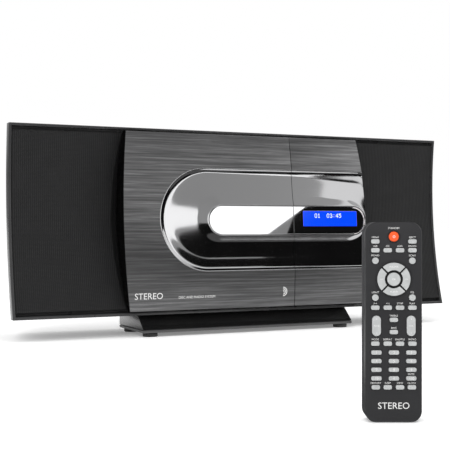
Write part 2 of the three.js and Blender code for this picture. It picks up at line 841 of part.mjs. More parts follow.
function makeSocket({ x, width, height, bore, pin }) {
  const low = socketZ - height / 2;
  const plate = block(x - width / 2, x + width / 2, shellBack - 12, shellBack + 0.8, low, low + height);
  const hollow = plate.subtract(barY(x, socketZ, bore, shellBack - 9, shellBack + 5, 20));
  return pin > 0 ? hollow.add(barY(x, socketZ, pin, shellBack - 10, shellBack - 1, 12)) : hollow;
}

function usbBlock(wall, yLow, yHigh) {
  const halfX = usbWidth / 2 + wall;
  const halfZ = usbHeight / 2 + wall;
  return block(usbX - halfX, usbX + halfX, yLow, yHigh, socketZ - halfZ, socketZ + halfZ);
}

function makeUsbSocket() {
  const front = shellBack - usbDepth - 1.5;
  const can = usbBlock(usbWall, front, shellBack + 0.5);
  const mouth = usbBlock(0, front + 1.5, shellBack + 5);
  return can.subtract(mouth);
}

function makeBoard() {
  const low = socketZ - 30;
  const back = shellBack - boardStandoff - seat;
  const x = 6;
  return block(x - boardWidth / 2, x + boardWidth / 2, back - boardThickness, back, low, low + boardHeight);
}

function makeScrew(side) {
  const x = side * shellPostX;
  const head = barY(x, discZ, screwHeadRadius, shellBack + seat, shellBack + 2.3, 20);
  return head.add(barY(x, discZ, screwRadius, shellBack - 14, shellBack + 1, 12));
}

function makeButton(index) {
  const x = buttonRight - index * buttonPitch;
  const low = shellTop - shellWall - 4;
  const cap = block(
    x - buttonWidth / 2,
    x + buttonWidth / 2,
    buttonY - buttonDepth / 2,
    buttonY + buttonDepth / 2,
    low,
    shellTop + buttonProud,
  );
  const flangeHalf = buttonWidth / 2 + 1.5;
  const flange = block(x - flangeHalf, x + flangeHalf, buttonY - 5, buttonY + 5, low, low + 1.5);
  return cap.add(flange);
}

// ---------------------------------------------------------------- stand

function makeStandCover() {
  const top = -seat;
  const bottom = -standHeight;
  const front = [[standTopFront, top], [standFront, bottom]];
  const outline = polygon([...front, [standBack, bottom], [standBack, top]]);
  const half = standWidth / 2;
  const inside = polygon([
    [standTopFront + standWall, top - standWall],
    [standFront + 2 * standWall, bottom - 1],
    [standBack - standWall, bottom - 1],
    [standBack - standWall, top - standWall],
  ]);
  return alongX(outline, -half, half).subtract(alongX(inside, standWall - half, half - standWall));
}

function makeBasePlate() {
  const half = standWidth / 2;
  const top = -standHeight - seat;
  return block(-half, half, standFront, standBack, top - basePlate, top);
}

function makeFoot(sideX, sideY) {
  const x = sideX * (standWidth / 2 - footInset);
  const y = sideY < 0 ? standFront + footInset - 2 : standBack - footInset + 2;
  const top = -standHeight - basePlate - 2 * seat;
  return barZ(x, y, footRadius, top - footHeight, top, 20);
}

// ---------------------------------------------------------------- remote control

// In the remote's own frame its front is at Y = 0, facing -Y, and it stands on Z = 0
const keyScale = remoteLength / 195.8;
const fromTop = (drop) => remoteLength - drop * keyScale;
const acrossRemote = (offset) => offset * keyScale;

// Small keys in one rubber mat: each row is [drop from the top, key width, key height, offsets across]
const matRows = [
  [18.8, 8.2, 4.3, [-18.1, 18.1]],
  [27.4, 8.2, 4.3, [-18.1, -6, 6, 18.1]],
  [37.6, 6.4, 6.4, [-18, 18]],
  [73.6, 6.4, 6.4, [-18, 18]],
  [83.4, 8.2, 4.3, [-18.1, -6, 6, 18.1]],
  [95.3, 8, 4.2, [0]],
  [107.2, 8, 4.2, [0]],
  [118.5, 8.2, 4.3, [-18.1, -6, 6, 18.1]],
  [127.2, 10, 4.2, [-17, 0, 17]],
  [135.5, 10, 4.2, [-17, 0, 17]],
  [144, 10, 4.2, [-17, 0, 17]],
  [152.4, 10, 4.2, [-17, 0, 17]],
  [161.1, 8.2, 4.3, [-17.6, -6, 6, 17.6]],
];
const powerDrop = 14.1;
const powerRadius = 4.9 * keyScale;
const padDrop = 55.7;
const padOuter = 16.1 * keyScale;
const padInner = 8.9 * keyScale;
const okRadius = 6.5 * keyScale;
const rockerDrop = 101.2;
const rockerOffset = 16.9;
const rockerWidth = 8.6 * keyScale;
const rockerLength = 19.9 * keyScale;
const matFront = remoteWall + seat;
const matBack = matFront + matThickness;

function remoteSlice(inset, yLow, yHigh) {
  const corner = remoteCorner - inset;
  const shape = roundedBox(remoteWidth - 2 * inset, remoteLength - 2 * inset, corner);
  return alongY(shape, yLow, yHigh).translate([0, 0, remoteLength / 2]);
}

function matKeys(grow, yLow, yHigh) {
  const keys = [];
  for (const [drop, width, height, offsets] of matRows) {
    for (const offset of offsets) {
      const x = acrossRemote(offset);
      const z = fromTop(drop);
      const halfX = (width * keyScale) / 2 + grow;
      const halfZ = (height * keyScale) / 2 + grow;
      keys.push(block(x - halfX, x + halfX, yLow, yHigh, z - halfZ, z + halfZ));
    }
  }
  return keys;
}

// One quarter of the ring of direction keys, pointing along the given angle
function padArc(angle, grow, yLow, yHigh) {
  const spread = Math.PI / 4 - 0.1 + grow / padInner;
  const shape = new THREE.Shape();
  shape.absarc(0, 0, padOuter + grow, angle - spread, angle + spread, false);
  shape.absarc(0, 0, padInner - grow, angle + spread, angle - spread, true);
  const outline = polygon(shape.getPoints(5).map((point) => [point.x, point.y]));
  return alongY(outline, yLow, yHigh).translate([0, 0, fromTop(padDrop)]);
}

const padDirections = [
  ['right', 0],
  ['up', Math.PI / 2],
  ['left', Math.PI],
  ['down', 1.5 * Math.PI],
];

function rocker(side, grow, yLow, yHigh) {
  const width = rockerWidth + 2 * grow;
  const shape = roundedBox(width, rockerLength + 2 * grow, width / 2 - 0.05);
  return alongY(shape, yLow, yHigh).translate([side * acrossRemote(rockerOffset), 0, fromTop(rockerDrop)]);
}

// Everything the single keys need to pass through a layer of the remote
function singleKeySpace(grow, yLow, yHigh) {
  return joinAll([
    barY(0, fromTop(powerDrop), powerRadius + grow, yLow, yHigh, 16),
    barY(0, fromTop(padDrop), okRadius + grow, yLow, yHigh, 16),
    ...padDirections.map(([, angle]) => padArc(angle, grow, yLow, yHigh)),
    rocker(-1, grow, yLow, yHigh),
    rocker(1, grow, yLow, yHigh),
  ]);
}

const coverLow = coverFromEnd;
const coverHigh = coverFromEnd + coverLength;

function makeRemoteFront() {
  const inside = remoteSlice(remoteWall, remoteWall, remoteSplit + 1);
  const shell = remoteSlice(0, 0, remoteSplit).subtract(inside);
  const openings = joinAll([...matKeys(keyGap, -5, 5), singleKeySpace(keyGap, -5, 5)]);
  return shell.subtract(openings);
}

function makeRemoteBack() {
  const inner = remoteThickness - remoteWall;
  const inside = remoteSlice(remoteWall, 0, inner);
  const shell = remoteSlice(0, remoteSplit + seat, remoteThickness).subtract(inside);
  const half = coverWidth / 2 + seat;
  const opening = block(-half, half, inner - 3, remoteThickness + 5, coverLow - seat, coverHigh + seat);
  return shell.subtract(opening);
}

function makeBatteryCover() {
  const half = coverWidth / 2;
  return block(-half, half, remoteThickness - remoteWall, remoteThickness, coverLow, coverHigh);
}

function makeKeypad() {
  const sheet = remoteSlice(remoteWall + seat, matFront, matBack);
  const cut = sheet.subtract(singleKeySpace(keyGap, 0, 5));
  return joinAll([cut, ...matKeys(0, -keyProud, matFront + 0.2)]);
}

function makeCell(side) {
  const x = side * (cellRadius + 0.3);
  const y = remoteThickness - remoteWall - seat - cellRadius;
  const low = coverLow + (coverLength - cellLength) / 2;
  return barZ(x, y, cellRadius, low, low + cellLength, 16);
}

// ---------------------------------------------------------------- assembly

place(unit, 'front_bezel', makeBezel(), finishes.framePlastic);
place(unit, 'grille_left', makeGrille(-1), finishes.grille);
place(unit, 'grille_right', makeGrille(1), finishes.grille);
place(unit, 'front_baffle', makeBaffle(), finishes.blackPlastic);

place(unit, 'door_panel', makePanel(-pastPanel, doorRight, doorBackY), finishes.brushed);
place(unit, 'door_dish', makeDish(-pastPanel, doorRight), finishes.gloss);
place(unit, 'door_window', makeWindow(-pastPanel, doorRight), finishes.smoke);
const displayBack = (z) => frontY(z) + grilleSetback - seat;
place(unit, 'display_panel', makePanel(displayLeft, pastPanel, displayBack), finishes.brushed);
const displayDish = makeDish(displayLeft, pastPanel).subtract(lcdSpace(seat, -60, 60));
place(unit, 'display_dish', displayDish, finishes.gloss);
place(unit, 'display_window', makeWindow(displayLeft, pastPanel), finishes.smoke);
place(unit, 'display_trim', makeTrim(), finishes.chrome);
place(unit, 'lcd_module', makeLcd(), finishes.lcd);

const tabBottom = [panelLow, panelLow + sliderTab];
const tabTop = [panelHigh - sliderTab, panelHigh];
const rack = rackTeeth();
const sliderBottom = makeSlider(rodBottomY, rodBottomZ, ...tabBottom).add(rack);
place(unit, 'door_slider_bottom', sliderBottom, finishes.nylon);
place(unit, 'door_slider_top', makeSlider(rodTopY, rodTopZ, ...tabTop), finishes.nylon);
const rodBottom = barX(rodBottomY, rodBottomZ, rodRadius, rodLeft - 2, rodRight + 2);
const rodTop = barX(rodTopY, rodTopZ, rodRadius, rodLeft - 2, rodRight + 2);
place(unit, 'door_rod_bottom', rodBottom, finishes.steel);
place(unit, 'door_rod_top', rodTop, finishes.steel);
place(unit, 'door_pinion', makePinion(), finishes.nylon);
place(unit, 'door_motor', makeDoorMotor(), finishes.steel);

place(unit, 'disc_deck', makeDeckPlate(), finishes.steel);
place(unit, 'disc_hub', makeHub(), finishes.blackPlastic);
place(unit, 'spindle_motor', makeSpindleMotor(), finishes.steel);
const sledRod = barX(sledRodY, sledRodZ, sledRodRadius, sledRodLeft - 3, sledRodRight + 3, 12);
place(unit, 'laser_rod', sledRod, finishes.steel);
place(unit, 'laser_sled', makeSled(), finishes.blackPlastic);

for (const [side, word] of [[-1, 'left'], [1, 'right']]) {
  place(unit, `speaker_frame_${word}`, makeSpeakerFrame(side), finishes.steel);
  place(unit, `speaker_cone_${word}`, makeSpeakerCone(side), finishes.cone);
  place(unit, `rear_screw_${word}`, makeScrew(side), finishes.steel);
}

place(unit, 'rear_shell', makeRearShell(), finishes.blackPlastic);
place(unit, 'main_board', makeBoard(), finishes.board);
for (const socket of socketPlates) {
  place(unit, socket.name, makeSocket(socket), finishes.blackPlastic);
}
place(unit, 'usb_socket', makeUsbSocket(), finishes.steel);
['power', 'source', 'play', 'quieter', 'louder'].forEach((word, index) => {
  place(unit, `button_${word}`, makeButton(index), finishes.blackPlastic);
});

place(unit, 'stand_cover', makeStandCover(), finishes.blackPlastic);
place(unit, 'stand_base', makeBasePlate(), finishes.standGrey);
for (const [sideX, wordX] of [[-1, 'left'], [1, 'right']]) {
  for (const [sideY, wordY] of [[-1, 'front'], [1, 'rear']]) {
    place(unit, `foot_${wordY}_${wordX}`, makeFoot(sideX, sideY), finishes.rubber);
  }
}

const keyBack = matBack;
place(remote, 'remote_front', makeRemoteFront(), finishes.blackPlastic);
place(remote, 'remote_back', makeRemoteBack(), finishes.blackPlastic);
place(remote, 'battery_cover', makeBatteryCover(), finishes.blackPlastic);
place(remote, 'remote_keypad', makeKeypad(), finishes.keyGrey);
place(remote, 'battery_left', makeCell(-1), finishes.cell);
place(remote, 'battery_right', makeCell(1), finishes.cell);
const powerKey = barY(0, fromTop(powerDrop), powerRadius, -keyProud, keyBack, 16);
place(remote, 'key_power', powerKey, finishes.keyRed);
place(remote, 'key_ok', barY(0, fromTop(padDrop), okRadius, -keyProud, keyBack, 16), finishes.keyGrey);
for (const [word, angle] of padDirections) {
  place(remote, `key_${word}`, padArc(angle, 0, -keyProud, keyBack), finishes.keyGrey);
}
place(remote, 'rocker_left', rocker(-1, 0, -keyProud, keyBack), finishes.keyGrey);
place(remote, 'rocker_right', rocker(1, 0, -keyProud, keyBack), finishes.keyGrey);

// The remote stands on the surface that the feet rest on, turned about the vertical
const floorZ = -standHeight - basePlate - footHeight - 2 * seat;
remote.position.set(remoteX, remoteY, floorZ);
remote.rotation.z = -THREE.MathUtils.degToRad(remoteTurn);

// The origin is the middle of the whole set's footprint, on the surface it stands on
stereo.updateMatrixWorld(true);
const bounds = new THREE.Box3().setFromObject(stereo, true);
const middle = bounds.getCenter(new THREE.Vector3());
stereo.position.set(-middle.x, -middle.y, -bounds.min.z);

export default stereo;
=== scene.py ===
"""Looks for the slim stereo with its sliding disc door, low stand and remote control."""

import math

import bpy
from mathutils import Matrix, Vector


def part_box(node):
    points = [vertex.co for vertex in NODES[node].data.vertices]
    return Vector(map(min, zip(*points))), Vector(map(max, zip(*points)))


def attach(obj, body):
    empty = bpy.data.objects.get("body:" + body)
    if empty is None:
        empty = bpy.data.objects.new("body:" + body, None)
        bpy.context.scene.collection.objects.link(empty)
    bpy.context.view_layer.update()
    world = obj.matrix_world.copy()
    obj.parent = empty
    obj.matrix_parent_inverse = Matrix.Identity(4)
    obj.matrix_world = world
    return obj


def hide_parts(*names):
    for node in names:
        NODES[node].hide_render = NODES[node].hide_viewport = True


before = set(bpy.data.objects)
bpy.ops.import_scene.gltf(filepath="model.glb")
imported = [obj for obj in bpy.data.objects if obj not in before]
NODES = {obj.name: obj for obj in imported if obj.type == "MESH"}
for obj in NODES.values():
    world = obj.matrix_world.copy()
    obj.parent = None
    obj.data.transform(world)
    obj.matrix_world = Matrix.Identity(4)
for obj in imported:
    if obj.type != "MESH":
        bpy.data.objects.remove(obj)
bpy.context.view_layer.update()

bl_info = {
    "name": "Slim Stereo",
    "version": (1, 0, 0),
    "blender": (4, 5, 0),
    "location": "View3D > Sidebar > Stereo",
    "description": "Builds the looks of a slim stereo and its remote control round a fixed frame",
    "category": "Object",
}

MM = 0.001

# ------------------------------------------------------------------ places read from the frame

BEZEL_LOW, BEZEL_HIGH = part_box("front_bezel")
FRONT = BEZEL_LOW.y
BASE = BEZEL_LOW.z
HEIGHT = BEZEL_HIGH.z - BASE
HALF_WIDTH = BEZEL_HIGH.x
DOOR_LOW, DOOR_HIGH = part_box("door_panel")
DISPLAY_LOW, DISPLAY_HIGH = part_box("display_panel")
PANEL_LOW = DOOR_LOW.z
PANEL_HIGH = DOOR_HIGH.z
PANEL_MID_HALF = DISPLAY_HIGH.x
DISH_LOW, DISH_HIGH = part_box("door_dish")
DISH_RADIUS = (DISH_HIGH.z - DISH_LOW.z) / 2
DISH_Z = (DISH_HIGH.z + DISH_LOW.z) / 2
DISH_LEFT = DISH_LOW.x + DISH_RADIUS
WINDOW_LOW, WINDOW_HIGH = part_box("door_window")
WINDOW_RADIUS = (WINDOW_HIGH.z - WINDOW_LOW.z) / 2
WINDOW_Z = (WINDOW_HIGH.z + WINDOW_LOW.z) / 2
WINDOW_LEFT = WINDOW_LOW.x + WINDOW_RADIUS
TRIM_LOW, TRIM_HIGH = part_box("display_trim")
TRIM_RADIUS = (TRIM_HIGH.z - TRIM_LOW.z) / 2
WINDOW_RIGHT = TRIM_HIGH.x - TRIM_RADIUS

# Shapes shared by the frame, the panels and the dish, in metres
FRAME_LEAN = 16.5 * MM
FRAME_HOLLOW = 10 * MM
PANEL_BARREL = 6.8 * MM
PANEL_END_HALF = PANEL_MID_HALF - PANEL_BARREL
PANEL_BOTTOM_FRONT = -6.3 * MM
PANEL_TOP_FRONT = 7 * MM
PANEL_CROWN = 6.5 * MM
PANEL_WALL = 2.5 * MM
DOOR_GAP = 1.2 * MM
# Width at mid-height of the painted shadow on the grille beside the panel's edge
DOOR_SHADOW_WIDTH = 5 * MM
WINDOW_FRONT = 1.5 * MM
WINDOW_BACK = 3.4 * MM
OPENING_RADIUS = TRIM_RADIUS + 0.3 * MM
TRIM_WIDTH = 1.5 * MM
OPENING_ROOM = 1.5 * MM


def frame_front(z):
    """How far back the hollow front of the frame lies at height z."""
    share = (z - BASE) / HEIGHT
    return FRONT + FRAME_LEAN * share + 4 * FRAME_HOLLOW * share * (1 - share)


def panel_front(z):
    """How far back the crowned front of the centre panel lies at height z."""
    share = (z - PANEL_LOW) / (PANEL_HIGH - PANEL_LOW)
    chord = PANEL_BOTTOM_FRONT + (PANEL_TOP_FRONT - PANEL_BOTTOM_FRONT) * share
    return FRONT + chord - 4 * PANEL_CROWN * share * (1 - share)


def panel_swell(z):
    """How far the barrel-shaped sides of the centre panel stand out at height z."""
    share = (z - PANEL_LOW) / (PANEL_HIGH - PANEL_LOW)
    return 4 * PANEL_BARREL * share * (1 - share)


# ------------------------------------------------------------------ settings


class StereoSettings(bpy.types.PropertyGroup):
    """Sizes and colours of the stereo's finishes."""

    edge_radius: bpy.props.FloatProperty(
        name="Edge radius", description="Rounding of moulded edges", default=0.0005, unit="LENGTH"
    )
    panel_colour: bpy.props.FloatVectorProperty(
        name="Panel",
        description="Brushed centre panel",
        subtype="COLOR",
        size=3,
        default=(0.235, 0.235, 0.238),
    )
    dish_colour: bpy.props.FloatVectorProperty(
        name="Dish",
        description="Dark mirror finish of the dish",
        subtype="COLOR",
        size=3,
        default=(0.42, 0.42, 0.425),
    )
    window_colour: bpy.props.FloatVectorProperty(
        name="Window", description="Smoked mirror window", subtype="COLOR", size=3, default=(0.62, 0.62, 0.63)
    )
    grille_colour: bpy.props.FloatVectorProperty(
        name="Grille",
        description="Black speaker mesh",
        subtype="COLOR",
        size=3,
        default=(0.014, 0.014, 0.0145),
    )
    lcd_colour: bpy.props.FloatVectorProperty(
        name="Display", description="Backlit display", subtype="COLOR", size=3, default=(0.0, 0.05, 1.0)
    )


class RemoteSettings(bpy.types.PropertyGroup):
    """Colours of the remote control."""

    shell_colour: bpy.props.FloatVectorProperty(
        name="Shell",
        description="Remote control shell",
        subtype="COLOR",
        size=3,
        default=(0.028, 0.028, 0.03),
    )
    key_colour: bpy.props.FloatVectorProperty(
        name="Keys", description="Grey silicone keys", subtype="COLOR", size=3, default=(0.42, 0.43, 0.43)
    )
    power_colour: bpy.props.FloatVectorProperty(
        name="Power key",
        description="Orange-red silicone",
        subtype="COLOR",
        size=3,
        default=(0.85, 0.09, 0.01),
    )


# ------------------------------------------------------------------ modelling helpers


def clear_selection():
    """Leaves edit mode and selects nothing."""
    if bpy.context.object and bpy.context.object.mode != "OBJECT":
        bpy.ops.object.mode_set(mode="OBJECT")
    bpy.ops.object.select_all(action="DESELECT")


def pick(obj):
    """Makes obj the only selected and active object."""
    clear_selection()
    obj.select_set(True)
    bpy.context.view_layer.objects.active = obj


def settle_origin(obj):
    """Puts the object's place, turn and scale into its mesh."""
    pick(obj)
    bpy.ops.object.transform_apply(location=True, rotation=True, scale=True)


def new_block(name, low, high):
    """A box between two corners."""
    clear_selection()
    low, high = Vector(low), Vector(high)
    bpy.ops.mesh.primitive_cube_add(size=1, location=(low + high) / 2)
    obj = bpy.context.object
    obj.name = name
    obj.scale = high - low
    settle_origin(obj)
    return obj


def new_bar(name, axis, centre, radius, length, sides=48):
    """A round bar along X, Y or Z about its centre."""
    clear_selection()
    turn = {"X": (0, math.pi / 2, 0), "Y": (math.pi / 2, 0, 0), "Z": (0, 0, 0)}[axis]
    bpy.ops.mesh.primitive_cylinder_add(
        vertices=sides, radius=radius, depth=length, location=centre, rotation=turn
    )
    obj = bpy.context.object
    obj.name = name
    settle_origin(obj)
    return obj


def combine(target, tool, operation="DIFFERENCE"):
    """Cuts or joins target with tool, and removes tool."""
    pick(target)
    step = target.modifiers.new("combine", "BOOLEAN")
    step.operation = operation
    step.solver = "EXACT"
    step.object = tool
    bpy.ops.object.modifier_apply(modifier=step.name)
    bpy.data.objects.remove(tool)
    return target


def round_edges(obj, width, segments=3, angle=35):
    """Rounds every edge sharper than the angle."""
    pick(obj)
    step = obj.modifiers.new("round", "BEVEL")
    step.width = width
    step.segments = segments
    step.limit_method = "ANGLE"
    step.angle_limit = math.radians(angle)
    step.use_clamp_overlap = True
    step.harden_normals = False
    bpy.ops.object.modifier_apply(modifier=step.name)
    return obj


def slice_heights(obj, low, high, count):
    """Cuts level lines round the object so that it can follow a curve."""
    pick(obj)
    bpy.ops.object.mode_set(mode="EDIT")
    for i in range(1, count):
        bpy.ops.mesh.select_all(action="SELECT")
        height = low + (high - low) * i / count
        bpy.ops.mesh.bisect(plane_co=(0, 0, height), plane_no=(0, 0, 1))
    bpy.ops.object.mode_set(mode="OBJECT")
    return obj


def move_points(obj, place):
    """Moves each point of the mesh to place(point)."""
    for vertex in obj.data.vertices:
        vertex.co = place(vertex.co.copy())
    obj.data.update()
    return obj


def keep_side(obj, point, normal):
    """Cuts the object with a plane, drops what the normal points at and closes the cut."""
    pick(obj)
    bpy.ops.object.mode_set(mode="EDIT")
    bpy.ops.mesh.select_all(action="SELECT")
    bpy.ops.mesh.bisect(plane_co=point, plane_no=normal, use_fill=True, clear_outer=True)
    bpy.ops.object.mode_set(mode="OBJECT")
    return obj


def shade(obj, angle=30):
    """Smooth shading that keeps edges sharper than the angle."""
    pick(obj)
    bpy.ops.object.shade_smooth_by_angle(angle=math.radians(angle))
    return obj


def mesh_from(name, points, faces):
    """A mesh object from points and faces, with its faces turned outwards."""
    mesh = bpy.data.meshes.new(name)
    mesh.from_pydata([tuple(p) for p in points], [], faces)
    obj = bpy.data.objects.new(name, mesh)
    bpy.context.collection.objects.link(obj)
    pick(obj)
    bpy.ops.object.mode_set(mode="EDIT")
    bpy.ops.mesh.select_all(action="SELECT")
    bpy.ops.mesh.remove_doubles(threshold=1e-7)
    bpy.ops.mesh.normals_make_consistent(inside=False)
    bpy.ops.object.mode_set(mode="OBJECT")
    return obj


def dress(obj, material, slot, body, *nodes):
    """Gives a finished piece its material and body, and hides the nodes it stands for; the slot argument is
    not used.
    """
    obj.data.materials.clear()
    obj.data.materials.append(material)
    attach(obj, body)
    if nodes:
        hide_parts(*nodes)
    return obj


def join(name, pieces):
    """Makes one object of several."""
    clear_selection()
    for piece in pieces:
        piece.select_set(True)
    bpy.context.view_layer.objects.active = pieces[0]
    bpy.ops.object.join()
    joined = bpy.context.object
    joined.name = name
    return joined


def new_print(text, across, up, size, front):
    """Thin raised letters facing the front, centred."""
    clear_selection()
    bpy.ops.object.text_add(location=(across, front, up), rotation=(math.pi / 2, 0, 0))
    letters = bpy.context.object
    letters.data.body = text
    letters.data.size = size
    letters.data.align_x = "CENTER"
    letters.data.align_y = "CENTER"
    letters.data.extrude = 0.04 * MM
    letters.data.resolution_u = 3
    bpy.ops.object.convert(target="MESH")
    letters = bpy.context.object
    settle_origin(letters)
    return letters


# ------------------------------------------------------------------ material helpers


def new_material(name, colour, roughness, metallic=0.0, **sockets):
    """A material with a principled shader; further sockets are set by name."""
    material = bpy.data.materials.new(name)
    material.use_nodes = True
    shader = material.node_tree.nodes["Principled BSDF"]
    shader.inputs["Base Color"].default_value = (*colour, 1)
    shader.inputs["Roughness"].default_value = roughness
    shader.inputs["Metallic"].default_value = metallic
    for socket, value in sockets.items():
        shader.inputs[socket.replace("_", " ")].default_value = value
    return material, material.node_tree, shader


def add_node(tree, kind, **settings):
    """A node of a kind, with its settings and input defaults."""
    node = tree.nodes.new(kind)
    for key, value in settings.items():
        if hasattr(node, key):
            setattr(node, key, value)
        else:
            node.inputs[key.replace("_", " ")].default_value = value
    return node


def object_coordinates(tree, scale):
    """Object coordinates stretched by a scale for each axis."""
    coordinates = add_node(tree, "ShaderNodeTexCoord")
    mapping = add_node(tree, "ShaderNodeMapping")
    mapping.inputs["Scale"].default_value = scale
    tree.links.new(coordinates.outputs["Object"], mapping.inputs["Vector"])
    return mapping.outputs["Vector"]


def noise(tree, vector, scale, detail=3.0, roughness=0.5):
    """Noise over a vector, as a number."""
    node = add_node(tree, "ShaderNodeTexNoise")
    node.inputs["Scale"].default_value = scale
    node.inputs["Detail"].default_value = detail
    node.inputs["Roughness"].default_value = roughness
    tree.links.new(vector, node.inputs["Vector"])
    return node.outputs["Fac"]


def spread(tree, value, low_in, high_in, low_out, high_out):
    """Maps a number from one range to another."""
    node = add_node(tree, "ShaderNodeMapRange")
    ends = {"From Min": low_in, "From Max": high_in, "To Min": low_out, "To Max": high_out}
    for socket, number in ends.items():
        node.inputs[socket].default_value = number
    tree.links.new(value, node.inputs["Value"])
    return node.outputs["Result"]


def ramp(tree, value, stops):
    """A colour ramp over a number; stops are (place, colour)."""
    node = add_node(tree, "ShaderNodeValToRGB")
    elements = node.color_ramp.elements
    while len(elements) < len(stops):
        elements.new(0.5)
    for element, (place, colour) in zip(elements, stops):
        element.position = place
        element.color = (*colour, 1)
    tree.links.new(value, node.inputs["Fac"])
    return node.outputs["Color"]


def bump(tree, shader, height, strength, distance):
    """Bump from a height, on the shader's normal."""
    node = add_node(tree, "ShaderNodeBump")
    node.inputs["Strength"].default_value = strength
    node.inputs["Distance"].default_value = distance
    tree.links.new(height, node.inputs["Height"])
    tree.links.new(node.outputs["Normal"], shader.inputs["Normal"])


def shades(colour, share):
    """A colour made darker or lighter."""
    return tuple(min(1.0, channel * share) for channel in colour)


# ------------------------------------------------------------------ materials


def moulded(name, colour, roughness, grain=1.0, coat=0.0):
    """Moulded plastic with a fine grain and slight handling variation."""
    material, tree, shader = new_material(name, colour, roughness)
    shader.inputs["Coat Weight"].default_value = coat
    shader.inputs["Coat Roughness"].default_value = 0.12
    vector = object_coordinates(tree, (1, 1, 1))
    fine = noise(tree, vector, 2600, 2)
    broad = noise(tree, vector, 18, 4)
    tone = spread(tree, broad, 0.3, 0.7, roughness * 0.85, roughness * 1.15)
    tree.links.new(tone, shader.inputs["Roughness"])
    colours = ramp(tree, broad, [(0.3, shades(colour, 0.85)), (0.7, shades(colour, 1.15))])
    tree.links.new(colours, shader.inputs["Base Color"])
    bump(tree, shader, fine, 0.25 * grain, 0.0002)
    return material


def past_panel_edge(tree):
    """How far a point lies past the barrel-shaped edge of the panel, and the swell there (0 to 1)."""
    split = add_node(tree, "ShaderNodeSeparateXYZ")
    tree.links.new(object_coordinates(tree, (1, 1, 1)), split.inputs["Vector"])
    share = spread(tree, split.outputs["Z"], PANEL_LOW, PANEL_HIGH, 0, 1)
    rest = add_node(tree, "ShaderNodeMath", operation="SUBTRACT")
    rest.inputs[0].default_value = 1
    tree.links.new(share, rest.inputs[1])
    product = add_node(tree, "ShaderNodeMath", operation="MULTIPLY")
    tree.links.new(share, product.inputs[0])
    tree.links.new(rest.outputs["Value"], product.inputs[1])
    swell = add_node(tree, "ShaderNodeMath", operation="MULTIPLY")
    swell.inputs[1].default_value = 4
    tree.links.new(product.outputs["Value"], swell.inputs[0])
    across = add_node(tree, "ShaderNodeMath", operation="ABSOLUTE")
    tree.links.new(split.outputs["X"], across.inputs[0])
    edge = add_node(tree, "ShaderNodeMath", operation="MULTIPLY_ADD")
    edge.inputs[1].default_value = PANEL_BARREL
    edge.inputs[2].default_value = PANEL_END_HALF
    tree.links.new(swell.outputs["Value"], edge.inputs[0])
    past = add_node(tree, "ShaderNodeMath", operation="SUBTRACT")
    tree.links.new(across.outputs["Value"], past.inputs[0])
    tree.links.new(edge.outputs["Value"], past.inputs[1])
    return past.outputs["Value"], swell.outputs["Value"]


def brushed(name, colour):
    """Dark metal finish brushed from side to side, with painted shade: darker towards the bottom and just
    left of the middle, and side walls deepened to near black.
    """
    material, tree, shader = new_material(name, colour, 0.36, 0.85)
    shader.inputs["Anisotropic"].default_value = 0.6
    streaks = noise(tree, object_coordinates(tree, (11, 60, 470)), 1.0, 6, 0.6)
    hairs = noise(tree, object_coordinates(tree, (40, 400, 3200)), 1.0, 3, 0.6)
    both = add_node(tree, "ShaderNodeMath", operation="MULTIPLY")
    tree.links.new(streaks, both.inputs[0])
    tree.links.new(spread(tree, hairs, 0.25, 0.75, 0.75, 1.25), both.inputs[1])
    tone = ramp(
        tree,
        both.outputs["Value"],
        [(0.3, shades(colour, 0.62)), (0.5, colour), (0.68, shades(colour, 1.6))],
    )
    # The side walls past the panel's barrel edge are painted near black: a dark side wall, deepened with
    # painted shade where it faces away from the light.
    shaded_side_wall = add_node(tree, "ShaderNodeMath", operation="GREATER_THAN")
    shaded_side_wall.inputs[1].default_value = -0.0004
    tree.links.new(past_panel_edge(tree)[0], shaded_side_wall.inputs[0])
    sides = add_node(tree, "ShaderNodeMixRGB")
    sides.inputs["Color2"].default_value = (0.004, 0.004, 0.004, 1)
    tree.links.new(shaded_side_wall.outputs["Value"], sides.inputs["Fac"])
    # Painted light and shade: the brushed colour is multiplied by ramps that darken it towards the bottom and
    # most a little left of the middle, standing in for the lighter top and left of the lit panel.
    split = add_node(tree, "ShaderNodeSeparateXYZ")
    tree.links.new(object_coordinates(tree, (1, 1, 1)), split.inputs["Vector"])
    painted_height_shade = ramp(
        tree,
        spread(tree, split.outputs["Z"], PANEL_LOW, PANEL_HIGH, 0, 1),
        [(0.0, (0.58, 0.58, 0.58)), (0.45, (0.72, 0.72, 0.72)), (0.9, (0.86, 0.86, 0.86))],
    )
    painted_side_shade = ramp(
        tree,
        spread(tree, split.outputs["X"], -PANEL_MID_HALF, PANEL_MID_HALF, 0, 1),
        [(0.0, (1, 1, 1)), (0.45, (0.78, 0.78, 0.78)), (1.0, (0.95, 0.95, 0.95))],
    )
    for share in (painted_height_shade, painted_side_shade):
        product = add_node(tree, "ShaderNodeMixRGB", blend_type="MULTIPLY")
        product.inputs["Fac"].default_value = 1
        tree.links.new(tone, product.inputs["Color1"])
        tree.links.new(share, product.inputs["Color2"])
        tone = product.outputs["Color"]
    tree.links.new(tone, sides.inputs["Color1"])
    tree.links.new(sides.outputs["Color"], shader.inputs["Base Color"])
    tree.links.new(spread(tree, streaks, 0.3, 0.7, 0.44, 0.3), shader.inputs["Roughness"])
    bump(tree, shader, both.outputs["Value"], 0.25, 0.0002)
    return material


def mirror_dark(name, colour, roughness):
    """Dark, mirror-smooth plated finish."""
    material, tree, shader = new_material(name, colour, roughness, 1.0)
    smears = noise(tree, object_coordinates(tree, (1, 1, 1)), 25, 3)
    tree.links.new(spread(tree, smears, 0.35, 0.7, roughness, roughness + 0.035), shader.inputs["Roughness"])
    return material


